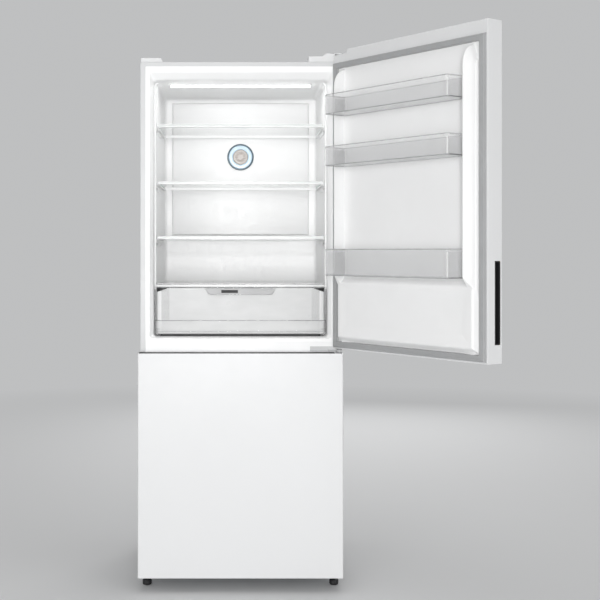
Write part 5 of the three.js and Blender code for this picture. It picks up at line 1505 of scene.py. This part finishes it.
def lower_panel_height(across, z):
    """Height of the panel below the ridges: the least of its full height and its slopes, dished
    3 mm inside a soft border that follows 3 d^2 - 2 d^3, with d from 0 to 1 across the border."""
    side_run, foot_run, dish_depth = 12, 14, 3
    border = smooth_least((RIDGE_OUTER - across) * PANEL_HEIGHT / side_run,
                          (z - 856) * PANEL_HEIGHT / foot_run, 4)
    panel = smooth_least(np.full_like(across, float(PANEL_HEIGHT)), border, 5)
    top = smooth_least(panel, (1072 - z) * 1.1, 6)
    side_border, foot_border, top_border = (302 - across) / 44, (z - 876) / 40, (1056 - z) / 30
    dish = np.clip(np.minimum(np.minimum(side_border, foot_border), top_border), 0, 1)
    return top - dish_depth * dish**2 * (3 - 2 * dish)


def upper_door_relief(fillet):
    """The upper door's inner sheet as a height over x and z.

    It is the greatest of the ridges, the lower panel and a rise beside each ridge, 6 (1 - d /
    66)^2 at the distance d from it, which ends below the sheet's top. Least and greatest have
    fillets.
    """
    low, high = extent("fridge_door_liner", True)
    xs = samples((low[0], high[0], 14), *[
        span for side in (-1, 1) for span in (
            (side * 286, side * 322, 0.9), (side * 244, side * 300, 4))])
    zs = samples((low[2], high[2], 18), (low[2], low[2] + 60, 3), (1040, 1100, 2),
                 (1710, high[2], 3))
    xs = np.clip(xs, low[0], high[0])
    x, z = np.meshgrid(xs, zs)
    across = np.abs(x)
    height = smooth_most(ridge_height(across, z, high[1] - SHEET_BASE, fillet),
                         lower_panel_height(across, z), 4)
    rise, rise_width, rise_top, fade = 6, 66, 1782, 60
    beside = rise * np.clip(1 - (290 - across) / rise_width, 0, 1) ** 2
    beside = np.where(across > 302, 0, beside) * np.clip((rise_top - z) / fade, 0, 1)
    height = smooth_most(height, beside, fillet)
    return relief(xs, zs, np.maximum(height, 0), SHEET_BASE, low[1], 1)


def basket_lugs():
    """Lugs on the ridges that the baskets' rims hang on."""
    inner, outer, back, front, tall, rim = 284, 292, -13, 21, 22, 5.3
    tops = [extent(f"door_basket_{name}", True)[1][2] - rim for name in BASKETS]
    return mirrored(joined(*[slab("y", (inner, back, top - tall), (outer, front, top), 2, 1.5)
                             for top in tops]))


HANGER = 5  # how far a basket's side flanges stand out from its bowl


def basket_rows(low, high, corner, stations):
    """Rows of a basket's outline: each station is a height and how far inside the bowl it runs."""
    half = high[0] - HANGER
    bowl_low, bowl_high = (-half, low[1], low[2]), (half, high[1], high[2])
    return framed("z", bowl_low, bowl_high,
                  [(z, inset, max(corner - inset, 0.5)) for z, inset in stations])


def door_basket(low, high, wall, corner):
    """A clear basket: a bowl with round front corners, a flanged rim that is thicker than its
    walls, and side flanges that hang on the lugs."""
    foot, floor, rim = low[2], low[2] + wall, high[2]
    rows = basket_rows(low, high, corner, [
        (foot, 12), (foot, 1.2), (foot + 2, 0.6), (rim - 7, 0.6), (rim - 6, 0), (rim, 0),
        (rim, wall + 0.8), (rim - 7, wall + 0.8), (rim - 8, wall + 0.6), (floor, wall + 1.2),
        (floor, wall + 12)])
    bowl = vessel(rows, "z", [2.5, 1, 0.5, 0.4, 1, 1, 0.4, 0.5, 2.5], 3, 8)
    flange = slab("y", (high[0] - HANGER - 0.5, low[1], rim - 5),
                  (high[0], high[1] - corner, rim), 1.2, 1)
    return joined(bowl, mirrored(flange))


def basket_edge_shade(low, high, corner):
    """Painted shade along the basket's rim and foot: two dark beads that follow the outline, about 2 mm
    high, just proud of the walls."""
    proud, deep = 0.25, 2.2

    def bead(bottom, top, inset):
        loop = soften_loop([[bottom, inset - proud], [top, inset - proud], [top, inset + deep],
                            [bottom, inset + deep]], 0.6, 2)
        rows = basket_rows(low, high, corner, loop)
        return skin(rings(rows, "z", 8), wrap_rows=True, wrap_cols=True)

    return joined(bead(low[2] - 0.2, low[2] + 2.2, 1.4), bead(high[2] - 1.6, high[2] + 0.2, 0))


STOREY_HEIGHT = 14  # of the upper door's top cap above its hinge place


def top_cap():
    """The upper door's top cap: a block, and a storey on it that leaves a deep place for the
    hinge beside the pin."""
    low, high = extent("fridge_door_cap_top", True)
    front, back, floor = low[1], high[1], high[2] - STOREY_HEIGHT
    side, wall = 284.0, DOOR_PIN[1] - HINGE_RECESS
    block = [[low[0], front], [high[0], front], [high[0], back], [low[0], back]]
    storey = [[low[0], front], [high[0], front], [high[0], wall], [side, wall], [side, back],
              [low[0], back]]
    return joined(
        drawn(soften_loop(block, [3, 3, 0.6, 0.6], 4), "z", low[2], floor),
        drawn(soften_loop(storey, [3, 3, 0.6, 4, 1.5, 0.6], 4), "z", floor - 1, high[2]))


def freezer_top_shadow():
    """Painted shadow: a dark strip along the freezer door's top, clear of the hinge."""
    low, high = extent("freezer_door_cap_top")
    margin, hinge_room = 3, 20
    return slab("x", (low[0] + margin, low[1] + margin, high[2] - 0.5),
                (DOOR_PIN[0] - hinge_room, high[1] - 5, high[2] + 0.6), 0.5, 1)


def basket_corner_glints(low, high, corner):
    """Painted highlight: fine white upright strips down a basket's two front corners, centred where
    the corner's quarter circle is farthest out."""
    centre = np.array([high[0] - HANGER, high[1]]) - corner * (1 - math.sqrt(0.5)) + 0.1
    radius, bottom, top = 1.0, low[2] + 3, high[2] - 8
    profile = [[0, bottom], [radius, bottom + 1], [radius, top - 1], [0, top]]
    return mirrored(lathe(profile, "z", centre, 12))


def basket_end_shade(low, high, wall, corner):
    """Painted shade: an extra clear layer inside a basket's two end walls, which makes them look darker."""
    inside = high[0] - HANGER - wall
    return mirrored(slab("z", (inside - 3.2, low[1] + 6, low[2] + 4),
                         (inside - 1.8, high[1] - corner, high[2] - 9), 0.6, 0.6))


def basket_foot_shadows(low, high, corner):
    """Painted shadow: dark strips along the bottom edges of a basket's two end walls."""
    half = high[0] - HANGER
    return mirrored(slab("y", (half - 3.4, low[1] + 5, low[2] + 0.6),
                         (half - 0.8, high[1] - corner, low[2] + 3.4), 0.6, 0.6))


class REFRIGERATOR_OT_door_fronts(RefrigeratorOperator, bpy.types.Operator):
    """Form the steel fronts of both doors and finish their caps and finger pockets"""

    bl_idname = "refrigerator.door_fronts"
    bl_label = "Door fronts"

    def execute(self, context):
        gap = 0.3
        for door, on_door, notch in (("fridge_door", True, STOREY_HEIGHT),
                                     ("freezer_door", False, 0)):
            place = on_upper_door if on_door else on_cabinet
            low, high = extent(f"{door}_panel", on_door)
            pocket = extent(f"{door}_handle_pocket", on_door)
            window = (pocket[0] - gap, pocket[1] + gap)
            caps = [np.ptp(extent(f"{door}_cap_{end}", on_door), axis=0)[2] + gap
                    for end in ("bottom", "top")]
            hinge_notch = (DOOR_PIN[1] - HINGE_RECESS, high[2] - notch)
            make_piece(f"{door}_front", door_front(low, high, window, caps, hinge_notch), door,
                       "white_steel", [f"{door}_panel"], place)
            make_piece(f"{door}_pocket", finger_pocket(*pocket), door, "dark_plastic",
                       [f"{door}_handle_pocket"], place)
            dress_node(f"{door}_cap_bottom", 0.6)
            dress_node(f"{door}_foam")
        make_piece("fridge_door_top", top_cap(), "fridge_door", "white_trim",
                   ["fridge_door_cap_top"], on_upper_door, edge=0.8)
        dress_node("freezer_door_cap_top", 0.6)
        # A dark strip on the freezer door's top: painted shadow of the gap between the doors.
        make_piece("freezer_door_top_shadow", freezer_top_shadow(), "freezer_door", "dark_plastic")
        return {"FINISHED"}


class REFRIGERATOR_OT_door_backs(RefrigeratorOperator, bpy.types.Operator):
    """Form the inner sheets of both doors"""

    bl_idname = "refrigerator.door_backs"
    bl_label = "Door backs"

    def execute(self, context):
        fillet = context.scene.refrigerator_sizes.ridge_fillet / MM
        # The door backs take the liner finish made darker as painted shade.
        finish = FINISHES["door_liner"]
        make_piece("fridge_door_inner", upper_door_relief(fillet), "fridge_door", "liner_plastic",
                   ["fridge_door_liner"], on_upper_door, finish)
        make_piece("fridge_door_lugs", basket_lugs(), "fridge_door", "liner_plastic",
                   place=on_upper_door, material=finish)
        make_piece("freezer_door_inner", freezer_door_relief(fillet), "freezer_door",
                   "liner_plastic", ["freezer_door_liner"], material=finish)
        return {"FINISHED"}


def freezer_door_relief(fillet):
    """The freezer door's inner sheet: a shallow panel whose four sides slope at 14 in 18, drawn
    in from the gasket."""
    low, high = extent("freezer_door_liner")
    gasket_low, gasket_high = extent("freezer_door_gasket")
    lift, run, margin, border = high[1] - SHEET_BASE, 18, 27, 50
    xs = samples((low[0], high[0], 16), (low[0], low[0] + border, 2),
                 (high[0] - border, high[0], 2))
    zs = samples((low[2], high[2], 16), (low[2], low[2] + border, 2),
                 (high[2] - border, high[2], 2))
    x, z = np.meshgrid(xs, zs)
    slope = lift / run
    sides = smooth_least((RIDGE_OUTER - np.abs(x)) * slope,
                         (z - gasket_low[2] - margin) * slope, fillet)
    sides = smooth_least(sides, (gasket_high[2] - margin - z) * slope, fillet)
    height = smooth_least(np.full_like(x, lift), sides, fillet)
    height = np.maximum(smooth_most(height, 0 * x, fillet), 0)
    return relief(xs, zs, height, SHEET_BASE, low[1], 1)


class REFRIGERATOR_OT_gaskets(RefrigeratorOperator, bpy.types.Operator):
    """Form the folded magnetic gaskets of both doors"""

    bl_idname = "refrigerator.gaskets"
    bl_label = "Gaskets"

    def execute(self, context):
        for door, on_door in (("fridge_door", True), ("freezer_door", False)):
            place = on_upper_door if on_door else on_cabinet
            make_piece(f"{door}_seal", gasket_ring(*extent(f"{door}_gasket", on_door)), door,
                       "gasket_rubber", [f"{door}_gasket"], place)
        return {"FINISHED"}


class REFRIGERATOR_OT_baskets(RefrigeratorOperator, bpy.types.Operator):
    """Form the three clear door baskets"""

    bl_idname = "refrigerator.baskets"
    bl_label = "Door baskets"

    def execute(self, context):
        sizes = context.scene.refrigerator_sizes
        wall, corner = sizes.plastic_wall / MM, sizes.basket_corner / MM
        back_gap, front_gap = np.array([0, 6, 0]), np.array([0, 3.4, 0])
        for name in BASKETS:
            node = f"door_basket_{name}"
            low, high = extent(node, True)
            low, high = low + back_gap, high - front_gap
            # Besides the clear tub, each basket gets painted light: dark beads for shade along its rim and foot,
            # white strips for the highlight down its front corners, an extra clear layer for shade on its end
            # walls and dark strips for shadow under them.
            for part, shape, finish in (
                    ("tub", door_basket(low, high, wall, corner), "clear_plastic"),
                    ("edges", basket_edge_shade(low, high, corner), "clear_edge"),
                    ("ribs", basket_corner_glints(low, high, corner), "painted_highlight_white"),
                    ("ends", basket_end_shade(low, high, wall, corner), "clear_plastic"),
                    ("feet", basket_foot_shadows(low, high, corner), "painted_shadow_line")):
                make_piece(f"basket_{name}_{part}", shape, f"basket_{name}", "clear_plastic",
                           [node] if part == "tub" else (), on_upper_door, FINISHES[finish])
        return {"FINISHED"}


# ---------------------------------------------------------------- stage


SENSOR_WIDTH = 36  # millimetres

# name, place, the point it faces, width and height, all in metres, and power in watts
LIGHTS = (
    ("Key", (-1.4, -3.4, 1.1), (-0.1, 0.0, 0.9), (1.4, 1.4), 20),
    ("Front", (-0.2, -7.0, 1.2), (-0.2, 0.0, 1.1), (1.2, 2.3), 203),
    ("Right", (3.2, -3.0, 1.4), (0.1, 0.0, 1.1), (1.6, 1.6), 16),
    ("Top", (-0.2, -0.4, 4.6), (-0.2, 0.2, 0.0), (3.0, 3.0), 40),
    ("Back", (0.6, 4.4, 2.0), (-0.2, 0.6, 1.0), (2.4, 2.4), 60),
)


class REFRIGERATOR_OT_stage(RefrigeratorOperator, bpy.types.Operator):
    """Set up the floor, the studio light and the camera"""

    bl_idname = "refrigerator.stage"
    bl_label = "Stage"

    def execute(self, context):
        scene = context.scene
        stage = scene.refrigerator_stage
        scene.view_settings.view_transform = "Standard"
        floor_of(stage)
        world_of(stage)
        for light in LIGHTS:
            studio_light(*light)
        lamp_glow(stage.lamp_power)
        camera = bpy.data.cameras.new("Camera")
        camera.lens, camera.sensor_width = stage.lens_mm, SENSOR_WIDTH
        camera.shift_x, camera.shift_y = stage.lens_shift
        camera.clip_start, camera.clip_end = 0.1, 100
        eye = bpy.data.objects.new("Camera", camera)
        eye.location = on_cabinet(np.array([0, -stage.eye_distance / MM, stage.eye_height / MM]))
        eye.rotation_euler = (math.pi / 2, 0, 0)
        scene.collection.objects.link(eye)
        scene.camera = eye
        return {"FINISHED"}


def studio_light(name, location, target, size, power):
    """A soft rectangular light that faces a point."""
    light = bpy.data.lights.new(name, "AREA")
    light.shape, light.size, light.size_y, light.energy = "RECTANGLE", *size, power
    lamp = bpy.data.objects.new(name, light)
    lamp.location = location
    aim = Vector(target) - Vector(location)
    lamp.rotation_euler = aim.to_track_quat("-Z", "Y").to_euler()
    bpy.context.scene.collection.objects.link(lamp)
    return lamp


def lamp_glow(power):
    """The light that the ceiling lamp throws down, from 0.6 mm below its lens; the camera sees
    the lens alone."""
    low, high = extent("ceiling_lamp")
    middle = (low + high) / 2
    x, y, z = on_cabinet(np.array([middle[0], middle[1], low[2] - 0.6]))
    width, depth = (high - low)[:2] - 2 * LENS_INSET
    glow = studio_light("Lamp bar", (x, y, z), (x, y, 0.0), (width * MM, depth * MM), power)
    glow.visible_camera = False


def floor_of(stage):
    """A wide floor disc in the stage's pale colour, in metres."""
    turn = np.linspace(0, 2 * math.pi, 96, endpoint=False)[None]
    radius = np.array([0.01, 3, 30])[:, None]
    grid = np.stack([radius * np.cos(turn), radius * np.sin(turn), 0 * radius * turn], axis=-1)
    points, faces = skin(grid, wrap_cols=True, cap_first=True)
    mesh = bpy.data.meshes.new("floor")
    mesh.from_pydata(points, [], faces)
    floor = bpy.data.objects.new("floor", mesh)
    bpy.context.scene.collection.objects.link(floor)
    finish = Finish("floor", stage.floor_colour, 0.9)
    finish.tint(finish.noise(0.6, 2), 0.995)
    fade_out(finish, stage.backdrop_colour)
    mesh.materials.append(finish.material)
    if mesh.polygons[0].normal.z < 0:
        mesh.flip_normals()


def fade_out(finish, backdrop):
    """Past 1.5 m from the middle the floor turns into the backdrop's colour by 6 m, for what the
    camera, mirrors and glass see."""
    away = finish.node("ShaderNodeVectorMath", [("Vector", finish.place)], operation="LENGTH")
    path = finish.node("ShaderNodeLightPath")
    seen = path.outputs["Is Camera Ray"]
    for kind in ("Is Glossy Ray", "Is Transmission Ray"):
        both = finish.node("ShaderNodeMath", operation="MAXIMUM")
        finish.tree.links.new(both.inputs[0], seen)
        finish.tree.links.new(both.inputs[1], path.outputs[kind])
        seen = both.outputs["Value"]
    amount = finish.node("ShaderNodeMath", operation="MULTIPLY")
    start, stop = 1.5, 6
    faded = finish.ramp(away.outputs["Value"], 0, 1, start, stop)
    finish.tree.links.new(amount.inputs[0], faded)
    finish.tree.links.new(amount.inputs[1], seen)
    glow = finish.node("ShaderNodeEmission", Color=(*backdrop, 1), Strength=1.0)
    mix = finish.node("ShaderNodeMixShader")
    out = finish.tree.nodes["Material Output"]
    finish.tree.links.new(mix.inputs["Fac"], amount.outputs["Value"])
    finish.tree.links.new(mix.inputs[1], finish.shader.outputs["BSDF"])
    finish.tree.links.new(mix.inputs[2], glow.outputs["Emission"])
    finish.tree.links.new(out.inputs["Surface"], mix.outputs["Shader"])


def world_of(stage):
    """Even white light from all round; the camera, mirrors and glass see the backdrop colour."""
    world = bpy.data.worlds.new("Studio")
    world.use_nodes = True
    tree = world.node_tree
    tree.nodes.clear()
    path = tree.nodes.new("ShaderNodeLightPath")
    seen, light = tree.nodes.new("ShaderNodeBackground"), tree.nodes.new("ShaderNodeBackground")
    seen.inputs["Color"].default_value = (*stage.backdrop_colour, 1)
    light.inputs["Color"].default_value = (1, 1, 1, 1)
    light.inputs["Strength"].default_value = stage.ambient_strength
    either = tree.nodes.new("ShaderNodeMath")
    either.operation = "MAXIMUM"
    tree.links.new(either.inputs[0], path.outputs["Is Camera Ray"])
    tree.links.new(either.inputs[1], path.outputs["Is Transmission Ray"])
    mix, out = tree.nodes.new("ShaderNodeMixShader"), tree.nodes.new("ShaderNodeOutputWorld")
    tree.links.new(mix.inputs[0], either.outputs[0])
    tree.links.new(mix.inputs[1], light.outputs[0])
    tree.links.new(mix.inputs[2], seen.outputs[0])
    tree.links.new(out.inputs["Surface"], mix.outputs[0])
    bpy.context.scene.world = world


# ---------------------------------------------------------------- add-on


OPERATORS = (
    REFRIGERATOR_OT_cabinet,
    REFRIGERATOR_OT_back,
    REFRIGERATOR_OT_compartments,
    REFRIGERATOR_OT_air_duct,
    REFRIGERATOR_OT_lamp,
    REFRIGERATOR_OT_shelves,
    REFRIGERATOR_OT_crisper,
    REFRIGERATOR_OT_freezer,
    REFRIGERATOR_OT_machine_room,
    REFRIGERATOR_OT_hinges,
    REFRIGERATOR_OT_feet,
    REFRIGERATOR_OT_door_fronts,
    REFRIGERATOR_OT_door_backs,
    REFRIGERATOR_OT_gaskets,
    REFRIGERATOR_OT_baskets,
    REFRIGERATOR_OT_stage,
)


class REFRIGERATOR_PT_panel(bpy.types.Panel):
    """Lists the steps and the settings in the sidebar"""

    bl_idname = "REFRIGERATOR_PT_panel"
    bl_label = "Refrigerator"
    bl_space_type = "VIEW_3D"
    bl_region_type = "UI"
    bl_category = "Refrigerator"

    def draw(self, context):
        layout = self.layout
        for operator in OPERATORS:
            layout.operator(operator.bl_idname)
        for group in (context.scene.refrigerator_sizes, context.scene.refrigerator_colours,
                      context.scene.refrigerator_stage):
            box = layout.box()
            for name in group.__annotations__:
                box.prop(group, name)


GROUPS = (RefrigeratorSizes, RefrigeratorColours, RefrigeratorStage)


def register():
    """Registers the settings, the operators and the panel."""
    for kind in (*GROUPS, *OPERATORS, REFRIGERATOR_PT_panel):
        bpy.utils.register_class(kind)
    for name, group in zip(("sizes", "colours", "stage"), GROUPS):
        setattr(bpy.types.Scene, f"refrigerator_{name}", bpy.props.PointerProperty(type=group))


def unregister():
    """Takes them out again."""
    for name in ("sizes", "colours", "stage"):
        delattr(bpy.types.Scene, f"refrigerator_{name}")
    for kind in (REFRIGERATOR_PT_panel, *OPERATORS[::-1], *GROUPS[::-1]):
        bpy.utils.unregister_class(kind)


def main():
    """Registers the add-on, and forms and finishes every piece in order."""
    register()
    FINISHES.update(make_finishes(bpy.context.scene.refrigerator_colours))
    for operator in OPERATORS:
        group, name = operator.bl_idname.split(".")
        getattr(getattr(bpy.ops, group), name)()


if __name__ == "__main__":
    main()
